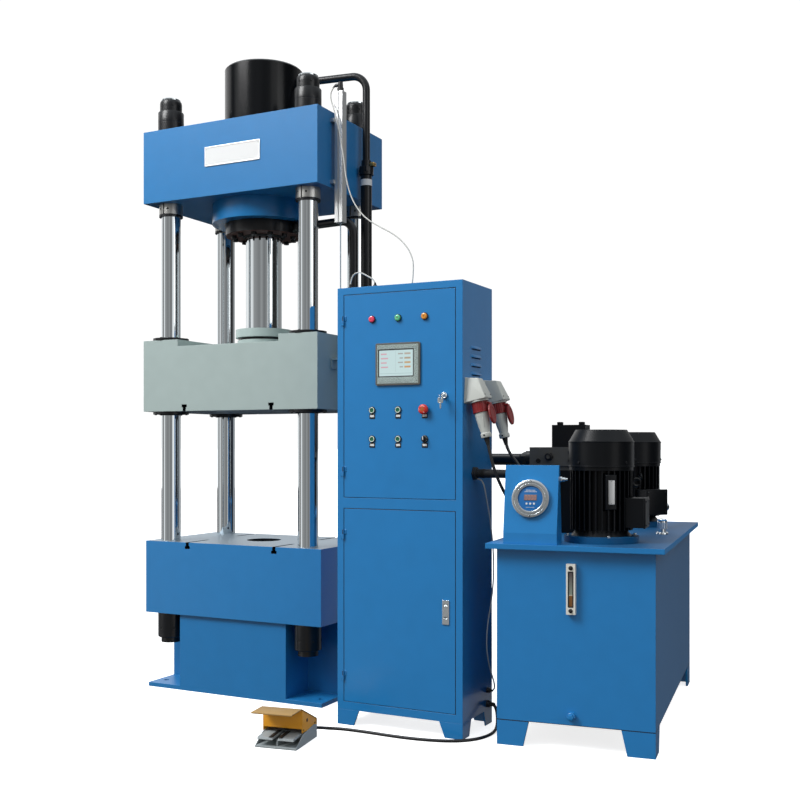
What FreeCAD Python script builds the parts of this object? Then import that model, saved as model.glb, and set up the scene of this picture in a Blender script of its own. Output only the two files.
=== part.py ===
import FreeCAD, Part
import math
import os
import re

import Sketcher

# Four-column hydraulic press with its control cabinet, hydraulic power unit and foot switch.
# Millimetres, +Z up, origin on the floor under the ram's axis, +X to the right, +Y to the back.

SIZES = {
    # press frame: the columns' half pitches, and how far each plate reaches past a column's axis
    "col_x": 398, "col_y": 230, "col_dia": 95, "col_end": 26, "col_edge": 3,
    "floor_over_x": 102, "floor_over_y": 46.5, "floor_thick": 20, "anchor_in_x": 50, "anchor_in_y": 76.5,
    "anchor_dia": 26, "waist_gap": 29, "wing_d": 160,
    "table_over_x": 107, "table_over_y": 61.5, "table_low": 370, "table_tall": 354, "table_bore": 170,
    "slot_x": 250, "slot_mouth": 18, "slot_wide": 30, "slot_lip": 18, "slot_deep": 32, "slot_start": 120,
    "nut_wall": 15.5, "nut_top_wall": 6.5, "nut_tall": 144, "low_nut_tall": 120, "nut_shoulder": 40, "nut_edge": 3,
    "crown_over_x": 102, "crown_over_y": 85, "crown_low": 2388, "crown_tall": 353,
    "boss_wall": 61, "boss_tall": 98, "collar_wall": 10.5, "collar_tall": 62, "collar_split": 3,
    "groove_deep": 5, "groove_tall": 20,
    "barrel_dia": 388, "barrel_wall": 44, "barrel_rise": 320, "barrel_cap": 40, "barrel_edge": 8,
    "gland_in": 4.5, "gland_tall": 55,
    # slide and ram
    "slide_over_x": 102, "slide_over_y": 85, "slide_low": 1362, "slide_tall": 316,
    "cheek_in": 290, "cheek_rise": 33, "seat_wall": 41, "seat_tall": 38,
    "ram_dia": 180, "piston_tall": 90, "piston_above": 30, "stroke_down": 230,
    "ram_flange_wall": 50, "ram_flange_tall": 41, "ram_flange_gap": 12, "ram_spigot_wall": 22,
    "bush_wall": 15, "guide_flange_wall": 40, "guide_flange_tall": 13,
    # clearances
    "fit": 0.2, "run": 0.5, "gap": 0.3,
    # stroke sensor, from the crown and the slide
    "sensor_out": 40, "sensor_y": -175, "sensor_drop": 163, "sensor_tall": 605, "sensor_side": 40,
    "sensor_slot": 6, "sensor_slot_deep": 4, "sensor_bore": 12, "sensor_end": 15,
    "plug_low_dia": 28, "plug_low_tall": 18, "plug_top_dia": 22, "plug_tall": 45, "elbow_dia": 16,
    "elbow_out": 26, "elbow_z": 33, "rod_dia": 6, "rod_up": 238, "rod_in": 245,
    "bracket_half": 22, "bracket_thick": 10, "bracket_leg": 40, "bracket_leg_thick": 8, "bracket_over": 16,
    "clamp_in_low": 17, "clamp_in_top": 51, "clamp_tall": 16, "clamp_w": 56,
    # pipes
    "pipe_out": 40, "feed_y": 75, "return_y": -50, "feed_drop": 76, "feed_dia": 36, "main_dia": 54,
    "return_dia": 40, "port_dia": 54, "port_deep": 40, "port_out": 12, "return_port_dia": 50,
    "union_up": 112, "union_tall": 70, "union_dia": 70, "union_neck": 48,
    "tap_dia": 20, "tap_len": 46, "pipe_rise": 28, "pipe_approach": 120, "port_wall": 8,
    # control cabinet
    "cab_x": 698, "cab_y": -476, "cab_w": 585, "cab_d": 320, "cab_low": 65, "cab_top": 1871,
    "sheet": 3, "margin": 30, "low_door_up": 34, "shelf_z": 948, "shelf_rail_low": 20, "shelf_rail_up": 25,
    "door_gap": 1.5, "door_deep": 20, "door_sheet": 2,
    "hinge_dia": 10, "hinge_half": 20, "hinge_pin": 5, "leaf_w": 14, "leaf_thick": 1.6, "hinge_in": 112,
    "louvre_y": 96, "louvre_w": 90, "louvre_drop": 385, "louvre_tall": 5, "louvre_pitch": 36, "louvre_count": 4,
    "trunk_y": 119, "trunk_z": 1080, "cord_gland_y": 262, "floor_cord_z": 150, "pedal_cord_z": 92,
    "side_gland": 14, "gland_wall": 7, "roof_gland": 20, "roof_gland_tall": 14,
    "foot_w": 105, "foot_base_w": 80, "foot_thick": 6, "foot_deep": 90, "foot_base_deep": 70,
    "plate_side": 42.5, "plate_up": 62, "plate_down": 81, "plate_thick": 3, "stud_tall": 16, "stud_dia": 12,
    "stud_in": 20, "gear_in": 40,
    # panel fittings, from the upper door's top and the cabinet's middle
    "fitting_pitch": 123, "lamp_drop": 111, "row_1_drop": 496, "row_2_drop": 618, "lamp_dia": 30,
    "lamp_rim": 5, "lamp_tall": 14, "bezel_dia": 31, "bezel_tall": 6, "panel_hole": 22, "barrel_deep": 38,
    "bezel_wall": 2, "push_len": 20, "push_travel": 4,
    "stop_dia": 42, "stop_stem": 16, "stop_tall": 16, "stop_stand": 6, "stop_rim": 7, "stop_crown": 8,
    "knob_base": 24, "grip_w": 8, "grip_tall": 10,
    "tag_w": 26, "tag_tall": 20, "tag_thick": 2,
    "screen_w": 208, "screen_tall": 178, "screen_drop": 304, "screen_thick": 8,
    "screen_body_in": 9, "screen_body_deep": 38, "glass_side": 25, "glass_edge": 35, "glass_up": 4, "glass_left": 8,
    "glass_deep": 2, "lock_in": 81, "lock_drop": 440, "lock_dia": 28, "lock_bore": 16, "lock_tall": 8,
    "lock_deep": 24, "key_thick": 2, "key_shank": 8, "key_bow": 22, "key_out": 34, "key_hole": 7,
    "latch_in": 74, "latch_w": 30, "latch_tall": 99, "latch_thick": 4, "latch_lip": 5, "lever_w": 16,
    "lever_pin": 7,
    # wall sockets and plugs
    "socket_y1": -420, "socket_y2": -215, "socket_w": 86, "socket_drop": 503, "socket_tall": 106,
    "socket_out": 92, "socket_top_out": 60, "socket_lean": 12.5, "socket_mid": 50,
    "ring_dia": 66, "ring_tall": 50, "ring_collar": 6, "plug_dia": 58, "plug_end": 38, "plug_len": 104,
    "lid_dia": 62, "lid_thick": 9, "lid_pin_r": 4.5, "lid_pin_drop": 16, "lid_pin_len": 30,
    # power unit, in its own frame from the lid's front left corner
    "unit_x": 1392, "unit_y": -503, "unit_turn": 6.4,
    "lid_w": 700, "lid_d": 1500, "lid_tall": 21, "lid_top": 806, "lid_over": 38, "tank_low": 100,
    "tank_wall": 5, "tank_foot_w": 130, "tank_foot_base": 107, "tank_foot_thick": 10,
    "lid_gland_x": 110, "lid_gland_pitch": 80, "lid_gland_y": 200, "lid_gland_dia": 24, "lid_gland_tall": 16,
    "gauge_x": 340, "level_drop": 269, "level_tall": 197, "level_w": 36, "level_thick": 22, "level_rim": 9,
    "level_end": 30, "level_slot_deep": 8, "drain_up": 38, "drain_dia": 32, "drain_len": 20,
    "console_x": 70, "console_w": 216, "console_y": 15, "console_tall": 312, "console_fold": 44,
    "console_deep": 95, "console_lean": 43, "console_rim": 16, "console_sheet": 3,
    "dial_x": 178, "dial_up": 179, "dial_dia": 156, "dial_flange": 28, "dial_deep": 22, "dial_thick": 14,
    "dial_rim": 18, "dial_face": 6,
    "motor_x": 420, "motor_in": 248, "motor_back_in": 328, "rear_turn": -45, "ring_base": 300, "ring_base_tall": 26,
    "frame_dia": 204, "frame_foot": 20, "frame_foot_tall": 24, "fin_tall": 24, "fin_thick": 4, "fin_count": 32,
    "frame_tall": 290, "shield_tall": 26, "cowl_out": 29, "cowl_tall": 150, "cowl_lap": 12, "cowl_cone": 48,
    "cowl_in": 28, "cowl_sheet": 2.5, "vent_count": 10, "vent_w": 10, "vent_in": 18,
    "shaft_dia": 28, "shaft_out": 70, "fan_in": 26, "fan_tall": 34, "fan_hub": 60, "fan_up": 14,
    "blade_count": 8, "blade_thick": 4, "box_w": 82, "box_d": 120, "box_up": 62, "box_tall": 118,
    "box_gland_dia": 34, "box_gland_len": 24,
    "valve_x": 40, "valve_w": 250, "valve_y": 595, "valve_d": 130, "valve_up": 298,
    "valve_tall": 84, "valve_top_in": 100, "valve_top_w": 150, "valve_top_tall": 100, "valve_inset": 8,
    "stand_in": 60, "stand_w": 140, "knob_dia": 22, "knob_tall": 14, "knob_in": 26, "coil_dia": 54,
    "coil_len": 60, "gauge_port_dia": 30, "gauge_port_in": 90,
    "port_in_1": 33, "port_in_2": 103, "port_len": 50, "trunk_in_z": 204,
    "cap_x": 613, "cap_y": 684, "cap_dia": 42, "cap_tall": 68, "cap_flange": 52, "cap_neck": 30,
    "cap_flange_tall": 8, "cap_neck_tall": 16, "cap_edge": 5,
    # foot switch, in its own frame from the base's front left corner
    "pedal_x": 584, "pedal_y": -935, "pedal_turn": 9, "pedal_w": 178, "pedal_d": 216,
    "pedal_base": 8, "cheek_thick": 3, "hood_top": 130, "hood_sheet": 3, "hood_wall_y": 70, "hood_fore": 18,
    "hood_side": 6, "hood_back_z": 76, "hood_drop": 36, "hood_low": 50, "hood_front_low": 66,
    "tread_side": 8, "tread_apart": 24, "tread_thick": 9, "tread_z": 40, "tread_pivot_y": 118, "tread_pivot_z": 44,
    "tread_pin": 6, "tread_hub": 14, "rib_thick": 6, "switch_y": 132, "switch_z": 42,
    "cord_exit_x": 148, "cord_exit_z": 24, "cord_exit_len": 20,
    # cords
    "sensor_cord": 6, "thin_cord": 6, "pedal_cord": 13, "plug_cord": 13, "trunk_dia": 36,
}
# Sizes that follow from the ones above.
FOLLOWING = {
    "col_low": "table_low - low_nut_tall - col_end",
    "floor_w": "2*(col_x + floor_over_x)", "floor_d": "2*(col_y + floor_over_y)",
    "anchor_x": "floor_w/2 - anchor_in_x", "anchor_y": "floor_d/2 - anchor_in_y",
    "nut_dia": "col_dia + 2*nut_wall", "nut_top_dia": "col_dia + 2*nut_top_wall",
    "waist_w": "2*(col_x - nut_dia/2 - waist_gap)", "wing_w": "floor_w",
    "table_w": "2*(col_x + table_over_x)", "table_d": "2*(col_y + table_over_y)",
    "crown_w": "2*(col_x + crown_over_x)", "crown_d": "2*(col_y + crown_over_y)",
    "collar_dia": "col_dia + 2*collar_wall", "boss_dia": "barrel_dia + 2*boss_wall",
    "barrel_bore": "barrel_dia - 2*barrel_wall", "gland_dia": "barrel_dia - 2*gland_in",
    "port_reach": "barrel_dia/2 + port_out", "gland_reach": "gland_dia/2 + port_out",
    "barrel_top": "crown_low + crown_tall + barrel_rise",
    "slide_w": "2*(col_x + slide_over_x)", "slide_d": "2*(col_y + slide_over_y)",
    "seat_dia": "ram_dia + 2*seat_wall", "ram_flange_dia": "ram_dia + 2*ram_flange_wall",
    "ram_spigot_dia": "ram_dia + 2*ram_spigot_wall",
    "bush_dia": "col_dia + 2*bush_wall", "guide_flange_dia": "col_dia + 2*guide_flange_wall",
    "sensor_x": "crown_w/2 + sensor_out", "sensor_low": "crown_low - sensor_drop",
    "rod_low": "slide_low + rod_up", "rod_top": "sensor_low + rod_in",
    "clamp_low": "crown_low + clamp_in_low", "clamp_high": "crown_low + crown_tall - clamp_in_top",
    "pipe_x": "crown_w/2 + pipe_out", "feed_z": "barrel_top - feed_drop", "union_low": "crown_low + union_up",
    "valve_z": "lid_top + valve_up", "pipe_low": "valve_z + pipe_rise",
    "low_door_z": "cab_low + low_door_up", "low_door_top": "shelf_z - shelf_rail_low",
    "up_door_z": "shelf_z + shelf_rail_up", "up_door_top": "cab_top - margin",
    "louvre_z": "cab_top - louvre_drop", "plate_z": "shelf_z + plate_up",
    "plate_tall": "cab_top - plate_down - plate_z", "plate_w": "cab_w - 2*plate_side",
    "col_2": "cab_x + cab_w/2", "col_1": "col_2 - fitting_pitch", "col_3": "col_2 + fitting_pitch",
    "lamp_z": "up_door_top - lamp_drop", "row_1": "up_door_top - row_1_drop", "row_2": "up_door_top - row_2_drop",
    "push_dia": "panel_hole - 2*bezel_wall", "glass_w": "screen_w - 2*glass_side",
    "glass_tall": "screen_tall - 2*glass_edge", "screen_x": "col_2", "screen_z": "up_door_top - screen_drop",
    "lock_x": "cab_x + cab_w - lock_in",
    "lock_z": "up_door_top - lock_drop", "latch_x": "cab_x + cab_w - latch_in",
    "latch_z": "(low_door_z + low_door_top - latch_tall)/2",
    "socket_z": "cab_top - socket_drop", "socket_top": "socket_z + socket_tall",
    "level_z": "lid_top - level_drop", "drain_z": "tank_low + drain_up",
    "console_back": "console_y + console_deep", "dial_z": "lid_top + dial_up",
    "dial_body": "dial_dia - 2*dial_flange", "fin_dia": "frame_dia + 2*fin_tall",
    "cowl_dia": "frame_dia + 2*cowl_out", "cowl_top_dia": "cowl_dia - 2*cowl_in", "fan_dia": "cowl_dia - 2*fan_in",
    "motor_y1": "motor_in", "motor_y2": "lid_d - motor_back_in", "box_z": "lid_top + box_up",
    "valve_top_x": "valve_x + valve_top_in", "stand_x": "valve_x + stand_in",
    "port_y1": "valve_y + port_in_1", "port_y2": "valve_y + port_in_2",
    "tread_w": "(pedal_w - 2*cheek_thick - 2*tread_side - tread_apart)/2",
}

KNOWN = {**SIZES, **FOLLOWING}

doc = FreeCAD.newDocument("hydraulic_press")
sheet = doc.addObject("Spreadsheet::Sheet", "Dims")
for row, (alias, number) in enumerate(KNOWN.items(), start=1):
    sheet.set("A%d" % row, alias)
    sheet.setAlias("B%d" % row, alias)
    sheet.set("B%d" % row, "=" + number if alias in FOLLOWING else str(number))
doc.recompute()

NODES = []
PLANES = {"XY": "XY_Plane", "XZ": "XZ_Plane", "YZ": "YZ_Plane"}
AXIS_TURNS = {"z": ((0, 0, 1), 0), "x": ((0, 1, 0), 90), "y": ((1, 0, 0), -90), "-y": ((1, 0, 0), 90)}


def bound(text):
    """The expression with each size's name turned into the cell that holds it."""
    return re.sub(r"[a-z][a-z_]*[0-9]?", lambda m: ("Dims." if m[0] in KNOWN else "") + m[0], str(text))


def size(text):
    """The number that an expression of the sheet's sizes gives now."""
    found = sheet.evalExpression(bound(text))
    return float(getattr(found, "Value", found))


def bind(thing, **rows):
    """Bind properties, with a double underscore for a dot, to expressions."""
    for row, text in rows.items():
        thing.setExpression(row.replace("__", "."), bound(text))


def place(thing, at, turn="0"):
    """Put a thing at a point, turned about Z."""
    thing.Placement = FreeCAD.Placement(FreeCAD.Vector(0, 0, 0), FreeCAD.Rotation(FreeCAD.Vector(0, 0, 1), 0))
    for axis, text in zip("xyz", at):
        thing.setExpression("Placement.Base." + axis, bound(text))
    if turn != "0":
        thing.Placement.Rotation = FreeCAD.Rotation(FreeCAD.Vector(0, 0, 1), size(turn))
        thing.setExpression("Placement.Rotation.Angle", bound(turn))


def node(name, *solids):
    """The sub-part that a file is written from: one object, or several joined in a compound."""
    whole = solids[0]
    if len(solids) > 1:
        whole = doc.addObject("Part::Compound", name)
        whole.Links = list(solids)
    whole.Label = name
    NODES.append(whole)
    return whole


def block(name, xs, ys, zs):
    """A box between two limits on each axis."""
    made = doc.addObject("Part::Box", name)
    for row, (low, high) in zip(("Length", "Width", "Height"), (xs, ys, zs)):
        made.setExpression(row, bound("(%s) - (%s)" % (high, low)))
    place(made, (xs[0], ys[0], zs[0]))
    return made


def rod(name, dia, length, at, axis="z"):
    """A cylinder from a point along an axis."""
    made = doc.addObject("Part::Cylinder", name)
    bind(made, Radius="(%s)/2" % dia, Height=length)
    place(made, at)
    direction, angle = AXIS_TURNS[axis]
    made.Placement.Rotation = FreeCAD.Rotation(FreeCAD.Vector(*direction), angle)
    return made


def fused(name, *parts):
    made = doc.addObject("Part::MultiFuse", name)
    made.Shapes = list(parts)
    made.Refine = True
    return made


def cut(name, base, *tools):
    made = doc.addObject("Part::Cut", name)
    made.Base = base
    made.Tool = tools[0] if len(tools) == 1 else fused(name + "_tools", *tools)
    return made


class Piece:
    """A body whose profiles are drawn from expressions on the sheet."""

    def __init__(self, name, at=("0", "0", "0"), turn="0"):
        self.body = doc.addObject("PartDesign::Body", name)
        self.body.AllowCompound = True
        self.count = 0
        if tuple(at) != ("0", "0", "0") or turn != "0":
            place(self.body, at, turn)

    def feature(self, kind):
        self.count += 1
        return self.body.newObject(kind, "%s_%d" % (self.body.Name, self.count))

    def sketch(self, plane, offset, outline=(), circles=()):
        drawn = self.feature("Sketcher::SketchObject")
        support = next(f for f in self.body.Origin.OriginFeatures if f.Role == PLANES[plane])
        drawn.AttachmentSupport = [(support, "")]
        drawn.MapMode = "FlatFace"
        drawn.setExpression("AttachmentOffset.Base.z", bound(offset))
        corners = [FreeCAD.Vector(size(a), size(b), 0) for a, b in outline]
        for here, there in zip(corners, corners[1:] + corners[:1]):
            drawn.addGeometry(Part.LineSegment(here, there))
        count = len(corners)
        for i in range(count):
            drawn.addConstraint(Sketcher.Constraint("Coincident", i, 2, (i + 1) % count, 1))
        for i, pair in enumerate(outline):
            self.pin(drawn, i, 1, pair)
        for i, (x, y, dia) in enumerate(circles, start=count):
            centre = FreeCAD.Vector(size(x), size(y), 0)
            drawn.addGeometry(Part.Circle(centre, FreeCAD.Vector(0, 0, 1), size(dia) / 2))
            self.pin(drawn, i, 3, (x, y))
            at = drawn.addConstraint(Sketcher.Constraint("Diameter", i, size(dia)))
            drawn.setExpression("Constraints[%d]" % at, bound(dia))
        return drawn

    def pin(self, drawn, element, point, pair):
        """Hold one point of a sketch at its two distances from the origin."""
        for kind, text in zip(("DistanceX", "DistanceY"), pair):
            at = drawn.addConstraint(Sketcher.Constraint(kind, -1, 1, element, point, size(text)))
            drawn.setExpression("Constraints[%d]" % at, bound(text))

    def pad(self, plane, low, high, outline=(), circles=()):
        """Material between two levels along the plane's own axis, X, Y or Z."""
        start = "-(%s)" % high if plane == "XZ" else low
        made = self.feature("PartDesign::Pad")
        made.Profile = self.sketch(plane, start, outline, circles)
        made.setExpression("Length", bound("(%s) - (%s)" % (high, low)))
        self.body.Tip = made
        return made

    def pocket(self, plane, low, high, outline=(), circles=()):
        """A hollow between two levels along the plane's own axis."""
        start = "-(%s)" % low if plane == "XZ" else high
        profile = self.sketch(plane, start, outline, circles)
        doc.recompute()
        made = self.feature("PartDesign::Pocket")
        made.Profile = profile
        made.setExpression("Length", bound("(%s) - (%s)" % (high, low)))
        self.body.Tip = made
        return made

    def turned(self, outline):
        """A full turn about Z of a profile of (radius, height) points."""
        profile = self.sketch("XZ", "0", outline)
        made = self.feature("PartDesign::Revolution")
        made.Profile = profile
        made.ReferenceAxis = (profile, ["V_Axis"])
        made.Angle = 360
        self.body.Tip = made
        return made

    def around(self, feature, count):
        """Repeat a feature evenly about Z."""
        doc.recompute()
        made = self.feature("PartDesign::PolarPattern")
        made.Originals = [feature]
        made.Axis = (next(f for f in self.body.Origin.OriginFeatures if f.Role == "Z_Axis"), [""])
        made.Angle = 360
        made.setExpression("Occurrences", bound(count))
        self.body.Tip = made
        return made

    def row(self, feature, axis, pitch, count):
        """Repeat a feature along X, Y or Z."""
        doc.recompute()
        made = self.feature("PartDesign::LinearPattern")
        made.Originals = [feature]
        made.Direction = (next(f for f in self.body.Origin.OriginFeatures if f.Role == axis + "_Axis"), [""])
        made.Mode = "Spacing"
        made.setExpression("Offset", bound(pitch))
        made.setExpression("Occurrences", bound(count))
        self.body.Tip = made
        return made


def rectangle(x_low, x_high, y_low, y_high):
    return [(x_low, y_low), (x_high, y_low), (x_high, y_high), (x_low, y_high)]


def ring_profile(inner, outer, low, high):
    """Half section of a plain ring, from diameters."""
    return rectangle("(%s)/2" % inner, "(%s)/2" % outer, low, high)


def turned_solid(name, outline, at=("0", "0", "0"), turn="0"):
    piece = Piece(name, at, turn)
    piece.turned(outline)
    return piece.body


def corners(x, y):
    """The four points at plus and minus x and y, each with its signs."""
    return [(sx + x, sy + y) for sx in ("-", "") for sy in ("-", "")]


# ---------------------------------------------------------------- press frame

TABLE_TOP = "(table_low + table_tall)"
CROWN_TOP = "(crown_low + crown_tall)"
SLIDE_TOP = "(slide_low + slide_tall)"
CHEEK_TOP = "(slide_low + slide_tall + cheek_rise)"
SEAT_TOP = "(slide_low + slide_tall + seat_tall)"
BOSS_LOW = "(crown_low - boss_tall)"
GLAND_LOW = "(crown_low - boss_tall - gland_tall)"
COL_TOP = "(crown_low + crown_tall + nut_tall + col_end)"
GROOVE_LOW = "(crown_low - collar_tall/2 - groove_tall/2)"


def make_pedestal():
    piece = Piece("pedestal")
    holes = [(x, y, "anchor_dia") for x, y in corners("anchor_x", "anchor_y")]
    piece.pad("XY", "0", "floor_thick", rectangle("-floor_w/2", "floor_w/2", "-floor_d/2", "floor_d/2"), holes)
    waist, wing_x, wing_y, deep = "waist_w/2", "wing_w/2", "wing_d/2", "floor_d/2"
    plus = [
        ("-" + waist, "-" + deep), (waist, "-" + deep), (waist, "-" + wing_y), (wing_x, "-" + wing_y),
        (wing_x, wing_y), (waist, wing_y), (waist, deep), ("-" + waist, deep),
        ("-" + waist, wing_y), ("-" + wing_x, wing_y), ("-" + wing_x, "-" + wing_y), ("-" + waist, "-" + wing_y),
    ]
    piece.pad("XY", "floor_thick", "table_low", plus)
    piece.pocket("XY", "floor_thick", "table_low", circles=[("0", "0", "table_bore")])
    node("pedestal", piece.body)


def slot_profile(x, face, into):
    """A T-slot's section about x, from a face into the solid: into is + or -."""
    mouth, wide = "slot_mouth/2", "slot_wide/2"
    lip, deep = "%s %s slot_lip" % (face, into), "%s %s slot_deep" % (face, into)
    out = "%s %s (-1)" % (face, into)
    return [
        ("%s-%s" % (x, mouth), out), ("%s-%s" % (x, mouth), lip), ("%s-%s" % (x, wide), lip),
        ("%s-%s" % (x, wide), deep), ("%s+%s" % (x, wide), deep), ("%s+%s" % (x, wide), lip),
        ("%s+%s" % (x, mouth), lip), ("%s+%s" % (x, mouth), out),
    ]


def make_table():
    piece = Piece("press_table")
    holes = [(x, y, "col_dia + 2*fit") for x, y in corners("col_x", "col_y")]
    holes.append(("0", "0", "table_bore"))
    outline = rectangle("-table_w/2", "table_w/2", "-table_d/2", "table_d/2")
    piece.pad("XY", "table_low", TABLE_TOP, outline, holes)
    for x in ("-slot_x", "slot_x"):
        profile = slot_profile(x, TABLE_TOP, "-")
        piece.pocket("XZ", "-table_d/2 - 1", "-slot_start", profile)
        piece.pocket("XZ", "slot_start", "table_d/2 + 1", profile)
    node("press_table", piece.body)


def make_columns():
    solids = []
    for i, (x, y) in enumerate(corners("col_x", "col_y")):
        r, groove = "col_dia/2", "col_dia/2 - groove_deep"
        low, high = GROOVE_LOW, GROOVE_LOW + " + groove_tall"
        solids.append(turned_solid("column_%d" % i, [
            ("0", "col_low"), (r, "col_low"), (r, low), (groove, low),
            (groove, high), (r, high), (r, COL_TOP + " - col_edge"), (r + " - col_edge", COL_TOP), ("0", COL_TOP),
        ], (x, y, "0")))
    node("columns", *solids)


def round_nut(name, x, y, low, tall, profile):
    """A round nut: its bore, its outer face and, above that, what the profile adds."""
    bore, r = "col_dia/2 + fit", "nut_dia/2"
    return turned_solid(name, [(bore, "0"), (r + " - nut_edge", "0"), (r, "nut_edge")] + profile + [(bore, tall)],
                        (x, y, low))


def make_nuts():
    """The upper nuts end in a reduced neck; the lower ones keep their width up to the table."""
    solids, small, step = [], "nut_top_dia/2", "nut_tall - nut_shoulder"
    neck = [("nut_dia/2", step), (small, step), (small, "nut_tall")]
    for i, (x, y) in enumerate(corners("col_x", "col_y")):
        solids.append(round_nut("nut_up_%d" % i, x, y, CROWN_TOP, "nut_tall", neck))
        solids.append(round_nut("nut_low_%d" % i, x, y, "table_low - low_nut_tall", "low_nut_tall",
                                [("nut_dia/2", "low_nut_tall")]))
    node("column_nuts", *solids)


def make_collars():
    """Split rings in the columns' grooves, which carry the crown's underside."""
    solids = []
    for i, (x, y) in enumerate(corners("col_x", "col_y")):
        bore, lip, r = "col_dia/2 + fit", "col_dia/2 - groove_deep + fit", "collar_dia/2"
        low, high = "crown_low - collar_tall", "crown_low"
        lip_low, lip_high = GROOVE_LOW + " + fit", GROOVE_LOW + " + groove_tall - fit"
        piece = Piece("collar_%d" % i, (x, y, "0"))
        piece.turned([(bore, low), (r, low), (r, high), (bore, high), (bore, lip_high), (lip, lip_high),
                      (lip, lip_low), (bore, lip_low)])
        piece.pocket("XZ", "-collar_dia", "collar_dia",
                     rectangle("-collar_split/2", "collar_split/2", low + " - 1", high + " + 1"))
        solids.append(piece.body)
    node("column_collars", *solids)


def make_crown():
    piece = Piece("crown")
    holes = [(x, y, "col_dia + 2*fit") for x, y in corners("col_x", "col_y")]
    bore = ("0", "0", "barrel_dia + 2*fit")
    outline = rectangle("-crown_w/2", "crown_w/2", "-crown_d/2", "crown_d/2")
    piece.pad("XY", "crown_low", CROWN_TOP, outline, holes + [bore])
    piece.pad("XY", BOSS_LOW, "crown_low", circles=[("0", "0", "boss_dia"), bore])
    node("crown", piece.body)


def pipe_port(name, reach, dia, level, angle):
    """A round port boss that stands out of a turned wall towards a pipe."""
    made = doc.addObject("Part::Cylinder", name)
    inner = reach + " - port_deep"
    bind(made, Radius="(%s)/2" % dia, Height="port_deep")
    turn = FreeCAD.Rotation(FreeCAD.Vector(0, 0, 1), angle)
    lay = FreeCAD.Rotation(FreeCAD.Vector(0, 1, 0), 90)
    spot = turn.multVec(FreeCAD.Vector(size(inner), 0, 0))
    made.Placement = FreeCAD.Placement(FreeCAD.Vector(spot.x, spot.y, size(level)), turn.multiply(lay))
    return made


def feed_angle():
    return math.degrees(math.atan2(size("feed_y"), size("pipe_x")))


def return_angle():
    return math.degrees(math.atan2(size("return_y"), size("pipe_x")))


def make_cylinder():
    r, bore, edge = "barrel_dia/2", "barrel_bore/2", "barrel_edge"
    top, roof = "barrel_top", "barrel_top - barrel_cap"
    barrel = turned_solid("barrel", [
        (bore, BOSS_LOW), (r, BOSS_LOW), (r, top + " - " + edge), (r + " - " + edge, top), ("0", top),
        ("0", roof), (bore, roof),
    ])
    port = pipe_port("barrel_port", "port_reach", "port_dia", "feed_z", feed_angle())
    node("main_cylinder", fused("main_cylinder_body", barrel, port))


def make_gland():
    ring = Piece("gland")
    ring.turned(ring_profile("ram_dia + 2*run", "gland_dia", GLAND_LOW, BOSS_LOW))
    port = pipe_port("gland_port", "gland_reach", "return_port_dia", GLAND_LOW + " + gland_tall/2", return_angle())
    node("gland_ring", fused("gland_ring_body", ring.body, port))


# ---------------------------------------------------------------- slide and ram

def make_slide():
    """Cast slide: raised cheeks at both sides, a round seat for the ram, T-slots underneath."""
    piece = Piece("slide_block")
    half = "slide_w/2"
    left = slot_profile("-slot_x", "slide_low", "+")
    right = slot_profile("slot_x", "slide_low", "+")
    outline = [("-" + half, "slide_low"), (half, "slide_low"), (half, CHEEK_TOP), ("cheek_in", CHEEK_TOP),
               ("cheek_in", SLIDE_TOP), ("-cheek_in", SLIDE_TOP), ("-cheek_in", CHEEK_TOP), ("-" + half, CHEEK_TOP)]
    piece.pad("XZ", "-slide_d/2", "slide_d/2", outline)
    piece.pad("XY", SLIDE_TOP, SEAT_TOP, circles=[("0", "0", "seat_dia")])
    for profile in (left, right):
        piece.pocket("XZ", "-slide_d/2 - 1", "slide_d/2 + 1", profile)
    holes = [(x, y, "bush_dia + 2*fit") for x, y in corners("col_x", "col_y")]
    piece.pocket("XY", "slide_low - 1", CHEEK_TOP + " + 1", circles=holes)
    node("slide_block", piece.body)


def make_guides():
    """Bronze bushes in the slide and the bolted flanges that hold their wipers, top and bottom."""
    bushes, flanges = [], []
    bore = "col_dia + 2*run"
    for i, (x, y) in enumerate(corners("col_x", "col_y")):
        bushes.append(turned_solid("bush_%d" % i, ring_profile(bore, "bush_dia", "slide_low", CHEEK_TOP),
                                   (x, y, "0")))
        for end, low, high in (("top", CHEEK_TOP, CHEEK_TOP + " + guide_flange_tall"),
                               ("low", "slide_low - guide_flange_tall", "slide_low")):
            piece = Piece("guide_%s_%d" % (end, i), (x, y, "0"))
            piece.turned(ring_profile(bore, "guide_flange_dia", low, high))
            flanges.append(piece.body)
    node("guide_bushes", *bushes)
    node("guide_flanges", *flanges)


def make_ram():
    r, head = "ram_dia/2", "barrel_bore/2 - run"
    low = BOSS_LOW + " + stroke_down + piston_above"
    high = low + " + piston_tall"
    node("ram", turned_solid("ram_body", [
        ("0", SEAT_TOP), (r, SEAT_TOP), (r, low), (head, low), (head, high), ("0", high),
    ]))
    bore, spigot, out = "ram_dia/2 + fit", "ram_spigot_dia/2", "ram_flange_dia/2"
    level = SEAT_TOP + " + ram_flange_gap"
    top = level + " + ram_flange_tall"
    node("ram_flange", turned_solid("ram_flange_body", [
        (bore, SEAT_TOP), (spigot, SEAT_TOP), (spigot, level), (out, level), (out, top), (bore, top),
    ]))


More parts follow.
